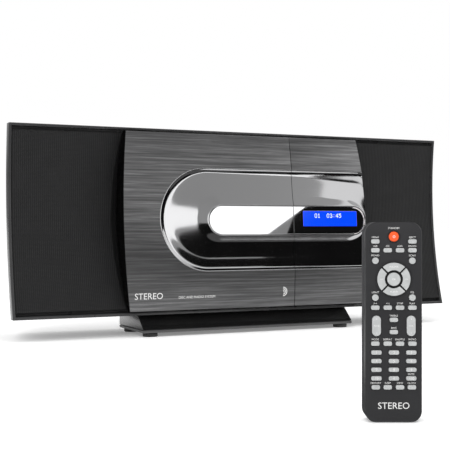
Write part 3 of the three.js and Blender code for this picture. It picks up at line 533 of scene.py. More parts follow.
def speaker_mesh(name, colour):
    """Fine black mesh: upright ribs crossed by finer rows, with a painted shadow beside the centre panel's
    edge.
    """
    material, tree, shader = new_material(name, colour, 0.62)
    shader.inputs["Specular IOR Level"].default_value = 0.35
    coordinates = object_coordinates(tree, (1, 1, 1))
    split = add_node(tree, "ShaderNodeSeparateXYZ")
    tree.links.new(coordinates, split.inputs["Vector"])
    waves = []
    for axis, pitch in (("X", 0.0021), ("Z", 0.0013)):
        turn = add_node(tree, "ShaderNodeMath", operation="MULTIPLY")
        turn.inputs[1].default_value = 2 * math.pi / pitch
        tree.links.new(split.outputs[axis], turn.inputs[0])
        wave = add_node(tree, "ShaderNodeMath", operation="SINE")
        tree.links.new(turn.outputs["Value"], wave.inputs[0])
        waves.append(spread(tree, wave.outputs["Value"], -1, 1, 0, 1))
    holes = add_node(tree, "ShaderNodeMath", operation="MULTIPLY")
    tree.links.new(waves[0], holes.inputs[0])
    tree.links.new(waves[1], holes.inputs[1])
    blotch = noise(tree, coordinates, 60, 3)
    mixed = add_node(tree, "ShaderNodeMath", operation="MULTIPLY")
    tree.links.new(holes.outputs["Value"], mixed.inputs[0])
    tree.links.new(spread(tree, blotch, 0.3, 0.7, 0.75, 1.25), mixed.inputs[1])
    tone = ramp(tree, mixed.outputs["Value"], [(0.0, shades(colour, 0.45)), (0.75, shades(colour, 1.7))])
    # Painted shadow: a near-black band along the centre panel's barrel edge, widest at mid-height, stands in
    # for the shadow that the panel casts on the grille; it stays in place when the door slides away.
    past, swell = past_panel_edge(tree)
    shadow_width = add_node(tree, "ShaderNodeMath", operation="MULTIPLY")
    shadow_width.inputs[1].default_value = DOOR_SHADOW_WIDTH
    tree.links.new(swell, shadow_width.inputs[0])
    inside = add_node(tree, "ShaderNodeMath", operation="LESS_THAN")
    tree.links.new(past, inside.inputs[0])
    tree.links.new(shadow_width.outputs["Value"], inside.inputs[1])
    painted_door_shadow = add_node(tree, "ShaderNodeMixRGB")
    painted_door_shadow.inputs["Color2"].default_value = (*shades(colour, 0.12), 1)
    tree.links.new(inside.outputs["Value"], painted_door_shadow.inputs["Fac"])
    tree.links.new(tone, painted_door_shadow.inputs["Color1"])
    tree.links.new(painted_door_shadow.outputs["Color"], shader.inputs["Base Color"])
    bump(tree, shader, holes.outputs["Value"], 0.7, 0.0004)
    return material


def backlit(name, colour):
    """Blue backlit display with an even glow and a fine dot grid."""
    material, tree, shader = new_material(name, shades(colour, 0.4), 0.12)
    vector = object_coordinates(tree, (1, 1, 1))
    glow = noise(tree, vector, 22, 2)
    tone = ramp(tree, glow, [(0.3, shades(colour, 0.9)), (0.7, colour)])
    tree.links.new(tone, shader.inputs["Emission Color"])
    shader.inputs["Emission Strength"].default_value = 0.95
    bump(tree, shader, noise(tree, vector, 3000, 1), 0.05, 0.0001)
    return material


def plated(name, colour, roughness=0.06):
    """Bright plating."""
    material, tree, shader = new_material(name, colour, roughness, 1.0)
    wear = noise(tree, object_coordinates(tree, (1, 1, 1)), 90, 3)
    tree.links.new(spread(tree, wear, 0.3, 0.7, roughness * 0.7, roughness * 1.6), shader.inputs["Roughness"])
    return material


def zinc(name, colour):
    """Zinc-plated steel with a faint spangle."""
    material, tree, shader = new_material(name, colour, 0.34, 0.95)
    vector = object_coordinates(tree, (1, 1, 1))
    cells = noise(tree, vector, 320, 3)
    tree.links.new(spread(tree, cells, 0.3, 0.7, 0.26, 0.46), shader.inputs["Roughness"])
    tone = ramp(tree, cells, [(0.3, shades(colour, 0.82)), (0.7, shades(colour, 1.1))])
    tree.links.new(tone, shader.inputs["Base Color"])
    return material


def rubbery(name, colour):
    """Soft silicone or rubber."""
    material, tree, shader = new_material(name, colour, 0.62)
    shader.inputs["Sheen Weight"].default_value = 0.08
    vector = object_coordinates(tree, (1, 1, 1))
    mottle = noise(tree, vector, 240, 3)
    tone = ramp(tree, mottle, [(0.3, shades(colour, 0.9)), (0.7, shades(colour, 1.08))])
    tree.links.new(tone, shader.inputs["Base Color"])
    bump(tree, shader, noise(tree, vector, 4200, 1), 0.2, 0.0001)
    return material


def paper_cone(name, colour):
    """Pressed pulp of a loudspeaker cone."""
    material, tree, shader = new_material(name, colour, 0.85)
    vector = object_coordinates(tree, (1, 1, 1))
    fibres = noise(tree, vector, 700, 5, 0.7)
    tone = ramp(tree, fibres, [(0.3, shades(colour, 0.7)), (0.7, shades(colour, 1.5))])
    tree.links.new(tone, shader.inputs["Base Color"])
    bump(tree, shader, fibres, 0.5, 0.0004)
    return material


def printed(name, colour):
    """Pale screen print."""
    material, tree, shader = new_material(name, colour, 0.5)
    wear = noise(tree, object_coordinates(tree, (1, 1, 1)), 900, 2)
    tone = ramp(tree, wear, [(0.3, shades(colour, 0.88)), (0.7, colour)])
    tree.links.new(tone, shader.inputs["Base Color"])
    return material


MATERIALS = {}


def surface(name):
    """The named finish; all are made when the first is asked for."""
    if not MATERIALS:
        make_materials(bpy.context.scene.stereo_settings, bpy.context.scene.remote_settings)
    return MATERIALS[name]


def make_materials(stereo, remote):
    """Every finish of the set, by name."""
    MATERIALS.update(
        brushed_panel=brushed("brushed_panel", tuple(stereo.panel_colour)),
        dish_gloss=mirror_dark("dish_gloss", tuple(stereo.dish_colour), 0.05),
        smoked_window=mirror_dark("smoked_window", tuple(stereo.window_colour), 0.012),
        grille_mesh=speaker_mesh("grille_mesh", tuple(stereo.grille_colour)),
        lcd_blue=backlit("lcd_blue", tuple(stereo.lcd_colour)),
        frame_black=moulded("frame_black", (0.03, 0.03, 0.031), 0.28, 0.3, 0.3),
        matte_black=moulded("matte_black", (0.012, 0.012, 0.0125), 0.45),
        stand_black=moulded("stand_black", (0.006, 0.006, 0.006), 0.22, 0.2, 0.3),
        stand_grey=moulded("stand_grey", (0.06, 0.06, 0.061), 0.4, 0.4),
        chrome_trim=plated("chrome_trim", (0.92, 0.88, 0.88)),
        bright_steel=zinc("bright_steel", (0.52, 0.53, 0.54)),
        white_nylon=moulded("white_nylon", (0.7, 0.69, 0.64), 0.5, 0.6),
        rubber_foot=rubbery("rubber_foot", (0.016, 0.016, 0.016)),
        cone_paper=paper_cone("cone_paper", (0.02, 0.02, 0.02)),
        circuit_board=moulded("circuit_board", (0.01, 0.1, 0.04), 0.35, 0.5, 0.4),
        cell_wrap=zinc("cell_wrap", (0.24, 0.27, 0.3)),
        remote_black=moulded("remote_black", tuple(remote.shell_colour), 0.42, 0.8),
        key_grey=rubbery("key_grey", tuple(remote.key_colour)),
        key_red=rubbery("key_red", tuple(remote.power_colour)),
        white_print=printed("white_print", (0.75, 0.75, 0.74)),
        lcd_dots=new_glow("lcd_dots", (0.75, 0.85, 1.0), 1.1),
    )


def new_glow(name, colour, strength):
    """Lit dots of the display."""
    material, tree, shader = new_material(name, colour, 0.4)
    flicker = noise(tree, object_coordinates(tree, (1, 1, 1)), 300, 1)
    tone = ramp(tree, flicker, [(0.2, shades(colour, 0.85)), (0.8, colour)])
    tree.links.new(tone, shader.inputs["Emission Color"])
    shader.inputs["Emission Strength"].default_value = strength
    return material


# ------------------------------------------------------------------ front frame and grilles

CURVE_STEPS = 40


class STEREO_OT_front_frame(bpy.types.Operator):
    """Make the thin, hollow-curved frame round the front"""

    bl_idname = "stereo.front_frame"
    bl_label = "Front frame"

    def execute(self, context):
        depth = BEZEL_HIGH.y - (FRONT + FRAME_LEAN) - 0.4 * MM
        depth = min(depth, 10 * MM)
        side, top, bottom = 3 * MM, 2.7 * MM, 3.2 * MM
        ring = new_block("frame_ring", (-HALF_WIDTH, 0, BASE), (HALF_WIDTH, depth, BASE + HEIGHT))
        hole = new_block(
            "frame_hole",
            (side - HALF_WIDTH, -1, BASE + bottom),
            (HALF_WIDTH - side, depth - 2 * MM, BASE + HEIGHT - top),
        )
        combine(ring, hole)
        lip = 18 * MM
        inner = new_block(
            "frame_inner",
            (side + lip - HALF_WIDTH, -1, BASE + bottom + 4 * MM),
            (HALF_WIDTH - side - lip, 1, BASE + HEIGHT - top - 4 * MM),
        )
        combine(ring, inner)
        round_edges(ring, context.scene.stereo_settings.edge_radius * 1.2, 3)
        slice_heights(ring, BASE, BASE + HEIGHT, CURVE_STEPS)
        move_points(ring, lambda p: Vector((p.x, p.y + frame_front(p.z), p.z)))
        shade(ring)
        dress(ring, surface("frame_black"), "frame_black", "stereo", "front_bezel")
        return {"FINISHED"}


class STEREO_OT_grilles(bpy.types.Operator):
    """Make the two speaker grilles with their rolled edges"""

    bl_idname = "stereo.grilles"
    bl_label = "Speaker grilles"

    def execute(self, context):
        setback = 0.8 * MM
        thick = 1.9 * MM
        for node in ("grille_left", "grille_right"):
            low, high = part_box(node)
            sheet = new_block(node + "_mesh", (low.x, 0, low.z), (high.x, thick, high.z))
            round_edges(sheet, 0.7 * MM, 3)
            slice_heights(sheet, low.z, high.z, CURVE_STEPS)
            move_points(sheet, lambda p: Vector((p.x, p.y + frame_front(p.z) + setback, p.z)))
            shade(sheet)
            dress(sheet, surface("grille_mesh"), "grille_mesh", "stereo", node)
        return {"FINISHED"}


# ------------------------------------------------------------------ centre panel, dish and window


def smooth_step(share):
    """An easing from 0 to 1."""
    share = min(max(share, 0.0), 1.0)
    return share * share * (3 - 2 * share)


# Depth of the dish against the distance in from its rim, both in mm
DISH_PROFILE = (
    (0.0, 0.1),
    (0.35, 0.02),
    (1.0, 0.3),
    (2.0, 0.79),
    (2.7, 1.13),
    (3.0, 1.25),
    (3.5, 1.38),
    (4.2, 1.51),
    (5.0, 1.64),
    (6.0, 1.78),
    (7.0, 1.9),
    (7.7, 1.97),
    (9.0, 2.05),
    (11.0, 2.11),
    (14.0, 2.14),
    (19.0, 2.13),
    (24.0, 2.08),
    (29.0, 1.97),
    (30.4, 1.93),
    (31.4, 1.83),
    (33.0, 1.59),
    (35.0, 1.28),
    (37.0, 0.97),
    (38.6, 0.72),
    (39.3, 0.63),
    (39.8, 0.64),
    (40.15, 0.78),
    (40.2, 3.7),
)

# The same for the room that the panel leaves behind the dish
ROOM_PROFILE = ((0.0, 4.6), (36.0, 4.6), (36.4, 6.0), (40.2, 6.0))
DISH_SPAN = 40.2

# How far the foot of the dish's wall is drawn out (mm), below, and above against the place across (m)
STRETCH_BOTTOM = 6.5
STRETCH_TOP = ((-0.1, -3.3), (0.06, 0.0), (0.14, 5.0))


# How the right ends of the rings reach past the panel's edge (mm), their length (mm) and squareness
DISH_ENDS = (
    (0.0, 1.2, 20, 10),
    (0.11, 1.2, 24, 8),
    (0.175, 1.1, 30, 6),
    (0.27, 1.0, 36, 4),
    (0.55, 0.6, 38, 2.6),
    (0.77, 0.2, 29, 2.1),
    (0.97, -0.6, OPENING_RADIUS / MM + 1.2, 2),
    (1.01, -OPENING_ROOM / MM, OPENING_RADIUS / MM, 2),
)


def between(table, share):
    """A row of the table, blended at the share."""
    for low, high in zip(table, table[1:]):
        if share <= high[0]:
            part = (share - low[0]) / (high[0] - low[0])
            return [a + (b - a) * part for a, b in zip(low[1:], high[1:])]
    return list(table[-1][1:])


def stretch(x, sine, inward):
    """How much further in a ring lies where the foot of the dish's wall is drawn out."""
    share = smooth_step((inward - 0.07) / 0.12) * (1 - min(inward, 1)) / 0.81
    if sine < 0:
        return -sine * STRETCH_BOTTOM * share * MM
    return sine * between(STRETCH_TOP, max(x, STRETCH_TOP[0][0]))[0] * share * MM


def ring_outline(inward, clearance=0.0, steps=48):
    """Points of one ring of the dish, as (x, z), left end first."""
    reach, length, square = between(DISH_ENDS, inward)
    radius = DISH_RADIUS + (OPENING_RADIUS - DISH_RADIUS) * inward + clearance
    left_centre = DISH_LEFT + (WINDOW_LEFT - DISH_LEFT) * inward
    right_centre = PANEL_MID_HALF + (reach - length) * MM + clearance
    middle = DISH_Z + (WINDOW_Z - DISH_Z) * inward
    points = []
    for i in range(steps + 1):
        angle = math.pi / 2 + math.pi * i / steps
        near = radius - stretch(left_centre, math.sin(angle), inward)
        points.append((left_centre + near * math.cos(angle), middle + near * math.sin(angle)))
    for i in range(1, steps):
        across = left_centre + (right_centre - left_centre) * i / steps
        points.append((across, middle - radius + stretch(across, -1, inward)))
    for i in range(steps + 1):
        angle = -math.pi / 2 + math.pi * i / steps
        across = right_centre + length * MM * abs(math.cos(angle)) ** (2 / square)
        rise = math.copysign(abs(math.sin(angle)) ** (2 / square), math.sin(angle))
        points.append((across, middle + (radius - stretch(across, math.sin(angle), inward)) * rise))
    for i in range(1, steps):
        across = right_centre + (left_centre - right_centre) * i / steps
        points.append((across, middle + radius - stretch(across, 1, inward)))
    return points


def dish_body(name, profile, front_depth, back_depth, clearance=0.0):
    """A closed solid between two surfaces that follow the dish; depths are in mm."""
    outlines = [
        (inset / DISH_SPAN, depth, ring_outline(inset / DISH_SPAN, clearance)) for inset, depth in profile
    ]
    points = []
    for depth_of in (front_depth, back_depth):
        for inward, depth, outline in outlines:
            for x, z in outline:
                points.append((x, panel_front(z) + depth_of(inward, depth) * MM, z))
    count = len(outlines[0][2])
    layers = len(outlines)
    faces = []
    for i in range(count):
        j = (i + 1) % count
        for k in range(layers - 1):
            a, b = k * count, (k + 1) * count
            faces.append((a + i, a + j, b + j, b + i))
            a, b = a + layers * count, b + layers * count
            faces.append((a + i, b + i, b + j, a + j))
        faces.append((i, layers * count + i, layers * count + j, j))
    last = (layers - 1) * count
    faces.append([last + i for i in range(count)])
    faces.append([last + layers * count + i for i in reversed(range(count))])
    return mesh_from(name, points, faces)


def dish_back(inward, depth):
    """Depth of the back of the dish in mm: deeper behind the window."""
    return 5.7 if inward > 0.9 else 4.3


def panel_body(name, x_low, x_high, inset, front_extra, back):
    """A barrel-sided slab whose front is the panel's crown and whose back is a curve of height."""
    nominal = 20 * MM
    low, high = PANEL_LOW + inset, PANEL_HIGH - inset
    slab = new_block(name, (x_low, 0, low), (x_high, nominal, high))
    if inset == 0:
        round_edges(slab, 0.55 * MM, 3)
    slice_heights(slab, low, high, CURVE_STEPS)
    middle = (DISPLAY_LOW.x + DOOR_HIGH.x) / 2

    def place(p):
        outer = -PANEL_END_HALF if p.x < middle else PANEL_END_HALF
        share = min(max((p.x - middle) / (outer - middle), 0), 1)
        x = p.x + math.copysign(panel_swell(p.z) * share * share, outer)
        near = panel_front(p.z) + front_extra
        return Vector((x, near + (back(p.z) - near) * p.y / nominal, p.z))

    return move_points(slab, place)


def make_panel(name, x_low, x_high, back):
    """One side of the centre panel, hollow behind, with room for the dish."""
    panel = panel_body(name, x_low, x_high, 0, 0, back)
    hollow = panel_body(
        name + "_hollow",
        x_low + PANEL_WALL,
        x_high - PANEL_WALL,
        PANEL_WALL,
        PANEL_WALL,
        lambda z: frame_front(z) + 30 * MM,
    )
    combine(panel, hollow)
    room = dish_body(
        name + "_room", ROOM_PROFILE, lambda inward, depth: -30, lambda inward, depth: depth, 0.12 * MM
    )
    combine(panel, room)
    return shade(panel)


def make_dish(name, x_low, x_high):
    """One side of the glossy dish."""
    dish = dish_body(name, DISH_PROFILE, lambda inward, depth: depth, dish_back)
    limit = panel_body(
        name + "_limit", x_low, x_high, 0.01 * MM, -10 * MM, lambda z: frame_front(z) + 20 * MM
    )
    combine(dish, limit, "INTERSECT")
    return shade(dish, 40)


WINDOW_RUN = panel_front(WINDOW_Z + WINDOW_RADIUS) - panel_front(WINDOW_Z - WINDOW_RADIUS)
WINDOW_LEAN = WINDOW_RUN / (2 * WINDOW_RADIUS)


def window_plane(depth, z):
    """How far back a plane parallel to the window lies at height z."""
    return panel_front(WINDOW_Z) + depth + WINDOW_LEAN * (z - WINDOW_Z)


def make_window(name, radius, sides=128):
    """A flat pill-shaped plate that leans with the panel."""
    middle = (WINDOW_LEFT + WINDOW_RIGHT) / 2
    plate = new_bar(name, "Y", (middle, 0, WINDOW_Z), radius, WINDOW_BACK - WINDOW_FRONT, sides)
    reach = (WINDOW_RIGHT - WINDOW_LEFT) / 2

    def place(p):
        y = p.y + window_plane((WINDOW_FRONT + WINDOW_BACK) / 2, p.z)
        return Vector((p.x + math.copysign(reach, p.x - middle), y, p.z))

    return move_points(plate, place)


class STEREO_OT_door(bpy.types.Operator):
    """Make the sliding disc door: brushed panel, its half of the dish and of the window"""

    bl_idname = "stereo.door"
    bl_label = "Disc door"

    def execute(self, context):
        panel = make_panel("door_front", -PANEL_END_HALF, DOOR_HIGH.x, lambda z: frame_front(z) - DOOR_GAP)
        dress(panel, surface("brushed_panel"), "brushed_panel", "door", "door_panel")
        dish = make_dish("door_dish_gloss", -PANEL_END_HALF, DOOR_HIGH.x)
        dress(dish, surface("dish_gloss"), "dish_gloss", "door", "door_dish")
        window = make_window("door_window_plate", WINDOW_RADIUS)
        keep_side(window, (DOOR_HIGH.x, 0, 0), (1, 0, 0))
        round_edges(window, 0.15 * MM, 2, 60)
        shade(window, 15)
        dress(window, surface("smoked_window"), "smoked_window", "door", "door_window")
        self.make_prints()
        return {"FINISHED"}

    def make_prints(self):
        """Plain words and a small sound-wave sign low on the door."""
        up = PANEL_LOW + 15.5 * MM
        word = new_print("STEREO", -122.5 * MM, up, 9.3 * MM, 0)
        line = new_print("DISC AND RADIO SYSTEM", -67 * MM, up - 2 * MM, 3.7 * MM, 0)
        pieces = [word, line]
        for radius in (1.6, 3.4, 5.2):
            wave = new_bar("wave", "Y", (38.5 * MM, 0, up + 1 * MM), radius * MM, 0.08 * MM, 48)
            combine(wave, new_bar("core", "Y", (38.5 * MM, 0, up + 1 * MM), (radius - 0.9) * MM, MM, 48))
            keep_side(wave, (38.5 * MM, 0, up), (-1, 0, 0))
            pieces.append(wave)
        prints = join("door_prints", pieces)
        move_points(prints, lambda p: Vector((p.x, p.y + panel_front(p.z) - 0.02 * MM, p.z)))
        dress(prints, surface("white_print"), "brushed_panel", "door")


BLOCK_FACES = ((0, 3, 2, 1), (4, 5, 6, 7), (0, 1, 5, 4), (1, 2, 6, 5), (2, 3, 7, 6), (3, 0, 4, 7))


class STEREO_OT_display_side(bpy.types.Operator):
    """Make the fixed display side: panel, dish, window, chrome arc and lit display"""

    bl_idname = "stereo.display_side"
    bl_label = "Display side"

    def execute(self, context):
        panel = make_panel(
            "display_front", DISPLAY_LOW.x, PANEL_END_HALF, lambda z: frame_front(z) + 0.5 * MM
        )
        dress(panel, surface("brushed_panel"), "brushed_panel", "stereo", "display_panel")
        dish = make_dish("display_dish_gloss", DISPLAY_LOW.x, PANEL_END_HALF)
        dress(dish, surface("dish_gloss"), "dish_gloss", "stereo", "display_dish")
        window = make_window("display_window_plate", WINDOW_RADIUS)
        keep_side(window, (DISPLAY_LOW.x, 0, 0), (-1, 0, 0))
        end = new_block("end_room", (WINDOW_RIGHT - 0.3 * MM, -1, 0), (1, 1, 1))
        inner = TRIM_RADIUS - TRIM_WIDTH - 0.15 * MM
        end = combine(end, new_bar("end_core", "Y", (WINDOW_RIGHT, 0, WINDOW_Z), inner, 3, 96))
        combine(window, end)
        low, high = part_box("lcd_module")
        edge = 0.25 * MM
        opening = new_block(
            "lcd_opening", (low.x - edge, -1, low.z - edge), (high.x + edge, 1, high.z + edge)
        )
        combine(window, opening)
        round_edges(window, 0.15 * MM, 2, 60)
        shade(window, 15)
        dress(window, surface("smoked_window"), "smoked_window", "stereo", "display_window")
        self.make_trim()
        self.make_lcd(low, high)
        return {"FINISHED"}

    def make_trim(self):
        """The half ring of bright plating at the window's right end."""
        tube = TRIM_WIDTH / 2
        clear_selection()
        bpy.ops.mesh.primitive_torus_add(
            major_radius=TRIM_RADIUS - tube,
            minor_radius=tube,
            major_segments=128,
            minor_segments=24,
            location=(WINDOW_RIGHT, 0, WINDOW_Z),
            rotation=(math.pi / 2, 0, 0),
        )
        ring = bpy.context.object
        ring.name = "display_trim_arc"
        settle_origin(ring)
        move_points(ring, lambda p: Vector((p.x, p.y * 1.4 + window_plane(1.3 * MM, p.z), p.z)))
        keep_side(ring, (WINDOW_RIGHT, 0, 0), (-1, 0, 0))
        shade(ring, 60)
        dress(ring, surface("chrome_trim"), "chrome_trim", "stereo", "display_trim")

    def make_lcd(self, low, high):
        """The lit display and its row of dot-matrix figures."""
        pane = new_block("lcd_pane", low, high)
        round_edges(pane, 0.2 * MM, 2)
        middle = (low.y + high.y) / 2
        face = WINDOW_FRONT + 0.05 * MM

        def lean(p):
            return Vector((p.x, window_plane(face, p.z) if p.y < middle else p.y, p.z))

        move_points(pane, lean)
        shade(pane)
        dress(pane, surface("lcd_blue"), "lcd_blue", "stereo", "lcd_module")
        dots = self.make_dots(low, high, face)
        dress(dots, surface("lcd_dots"), "lcd_blue", "stereo")

    def make_dots(self, low, high, face):
        """Small raised squares that spell the track number and its time."""
        rows = {
            "0": (14, 17, 17, 17, 17, 17, 14),
            "1": (4, 12, 4, 4, 4, 4, 14),
            "3": (14, 17, 1, 6, 1, 17, 14),
            "4": (2, 6, 10, 18, 31, 2, 2),
            "5": (31, 16, 30, 1, 1, 17, 14),
            ":": (0, 4, 0, 0, 0, 4, 0),
            " ": (0, 0, 0, 0, 0, 0, 0),
        }
        pitch = (high.x - low.x) / 113
        size = pitch * 0.82
        left = low.x + (high.x - low.x) * 0.21
        top = high.z - (high.z - low.z) * 0.16
        points, faces = [], []
        for index, letter in enumerate("01  03:45"):
            for row, bits in enumerate(rows[letter]):
                for column in range(5):
                    if not bits >> (4 - column) & 1:
                        continue
                    x = left + (index * 6.4 + column) * pitch
                    z = top - row * pitch * 1.12
                    y = window_plane(face, z)
                    start = len(points)
                    for dy in (-0.12 * MM, 0.05 * MM):
                        for dx, dz in ((0, 0), (size, 0), (size, -size), (0, -size)):
                            points.append((x + dx, y + dy, z + dz))
                    for quad in BLOCK_FACES:
                        faces.append([start + corner for corner in quad])
        return mesh_from("lcd_figures", points, faces)


# ------------------------------------------------------------------ stand


class STEREO_OT_stand(bpy.types.Operator):
    """Make the low stand: sloping cover, base plate and rubber feet"""

    bl_idname = "stereo.stand"
    bl_label = "Stand"

    def execute(self, context):
        low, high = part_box("stand_cover")
        cover = new_block("stand_shell", low, high)
        slope = 16 * MM

        def lean(p):
            return Vector((p.x, p.y + slope, p.z)) if p.y < low.y + MM and p.z > high.z - MM else p

        move_points(cover, lean)
        round_edges(cover, 0.7 * MM, 3, 25)
        shade(cover)
        dress(cover, surface("stand_black"), "matte_black", "stereo", "stand_cover")
        low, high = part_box("stand_base")
        plate = new_block("stand_plate", low, high)
        round_edges(plate, 0.8 * MM, 4, 25)
        shade(plate)
        dress(plate, surface("stand_grey"), "stand_grey", "stereo", "stand_base")
        for end in ("front", "rear"):
            for side in ("left", "right"):
                self.make_foot(f"foot_{end}_{side}")
        return {"FINISHED"}

    def make_foot(self, node):
        """A rubber foot with a rounded tread."""
        low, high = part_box(node)
        middle = (low + high) / 2
        foot = new_bar(node + "_rubber", "Z", middle, (high.x - low.x) / 2, high.z - low.z, 48)
        round_edges(foot, 0.9 * MM, 4)
        shade(foot)
        dress(foot, surface("rubber_foot"), "rubber_foot", "stereo", node)


# ------------------------------------------------------------------ nodes that keep their shape


class STEREO_OT_inner_parts(bpy.types.Operator):
    """Finish the frame's own nodes: baffle, shell, deck, drive, sockets and buttons"""

    bl_idname = "stereo.inner_parts"
    bl_label = "Inner and rear parts"

    def execute(self, context):
        finishes = {
            "matte_black": (
                "front_baffle", "rear_shell", "disc_hub", "laser_sled", "power_socket", "aux_socket",
                "aerial_socket", "button_power", "button_source", "button_play", "button_quieter",
                "button_louder",
            ),
            "white_nylon": ("door_slider_bottom", "door_slider_top", "door_pinion"),
            "bright_steel": (
                "door_rod_bottom", "door_rod_top", "door_motor", "disc_deck", "spindle_motor", "laser_rod",
                "speaker_frame_left", "speaker_frame_right", "rear_screw_left", "rear_screw_right",
                "usb_socket",
            ),
            "cone_paper": ("speaker_cone_left", "speaker_cone_right"),
            "circuit_board": ("main_board",),
            "cell_wrap": ("battery_left", "battery_right"),
        }
        for name, nodes in finishes.items():
            for node in nodes:
                NODES[node].data.materials.clear()
                NODES[node].data.materials.append(surface(name))
        return {"FINISHED"}


# Rows of small keys: drop from the top, width, height (units of the remote), places across, print above
KEY_ROWS = (
    (18.8, 8.2, 4.3, (-18.1, 18.1), ("MENU", "EJECT")),
    (27.4, 8.2, 4.3, (-18.1, -6, 6, 18.1), ("USB", "CD", "AUX", "RADIO")),
    (37.6, 6.4, 6.4, (-18, 18), ("MONO", "SCAN")),
    (73.6, 6.4, 6.4, (-18, 18), ("LIGHT", "EQ")),
    (83.4, 8.2, 4.3, (-18.1, -6, 6, 18.1), ("|<<", ">>|", "STOP", "PLAY")),
    (95.3, 8.0, 4.2, (0,), ("TREBLE",)),
    (107.2, 8.0, 4.2, (0,), ("BASS",)),
    (118.5, 8.2, 4.3, (-18.1, -6, 6, 18.1), ("MODE", "REPEAT", "SHUFFLE", "INTRO")),
    (127.2, 10.0, 4.2, (-17, 0, 17), ()),
    (135.5, 10.0, 4.2, (-17, 0, 17), ()),
    (144.0, 10.0, 4.2, (-17, 0, 17), ()),
    (152.4, 10.0, 4.2, (-17, 0, 17), ("", "", "MUTE")),
    (161.1, 8.2, 4.3, (-17.6, -6, 6, 17.6), ("MEMORY", "SLEEP", "INFO", "CLOCK")),
)
DIGITS = (("1", "2", "3"), ("4", "5", "6"), ("7", "8", "9"), ("10", "0", "+10"))
DIGIT_ROW = 8
REMOTE_WIDTH = 34 * MM
REMOTE_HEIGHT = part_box("remote_front")[1].z
REMOTE_UNIT = REMOTE_HEIGHT / 195.8
REMOTE_CORNER = 6.8 * MM
REMOTE_SPLIT = 5.8 * MM
KEY_PROUD = 0.9 * MM
POWER_DROP = 14.1
PAD_DROP = 55.7
PAD_RADIUS = 16.1
ROCKER_DROP = 101.2
ROCKER_ASIDE = 16.9
REMOTE_SPOT = Matrix.Translation((-158.5 * MM, -295.983 * MM, 0))
REMOTE_PLACE = REMOTE_SPOT @ Matrix.Rotation(math.radians(-25.56), 4, "Z")


def stand_remote(obj):
    """Moves a piece made in the remote's own frame to where the remote stands."""
    return move_points(obj, lambda p: REMOTE_PLACE @ p)


def rounded_plate(name, across, up, width, height, corner, y_low, y_high):
    """A plate facing the front, with rounded corners."""
    deep = 8 * MM + corner
    half_x, half_z = width / 2, height / 2
    low = (across - half_x, y_low - deep, up - half_z)
    plate = new_block(name, low, (across + half_x, y_high + deep, up + half_z))
    round_edges(plate, corner, 7)
    keep_side(plate, (0, y_low, 0), (0, -1, 0))
    return keep_side(plate, (0, y_high, 0), (0, 1, 0))


def from_top(drop):
    """Height of a place measured down from the top of the remote, in its units."""
    return REMOTE_HEIGHT - drop * REMOTE_UNIT


def round_cap(name, drop, radius, sides=96):
    """A round key cap that stands proud of the remote's face."""
    centre = (0, (2 * MM - KEY_PROUD) / 2, from_top(drop))
    return new_bar(name, "Y", centre, radius * REMOTE_UNIT, 2 * MM + KEY_PROUD, sides)


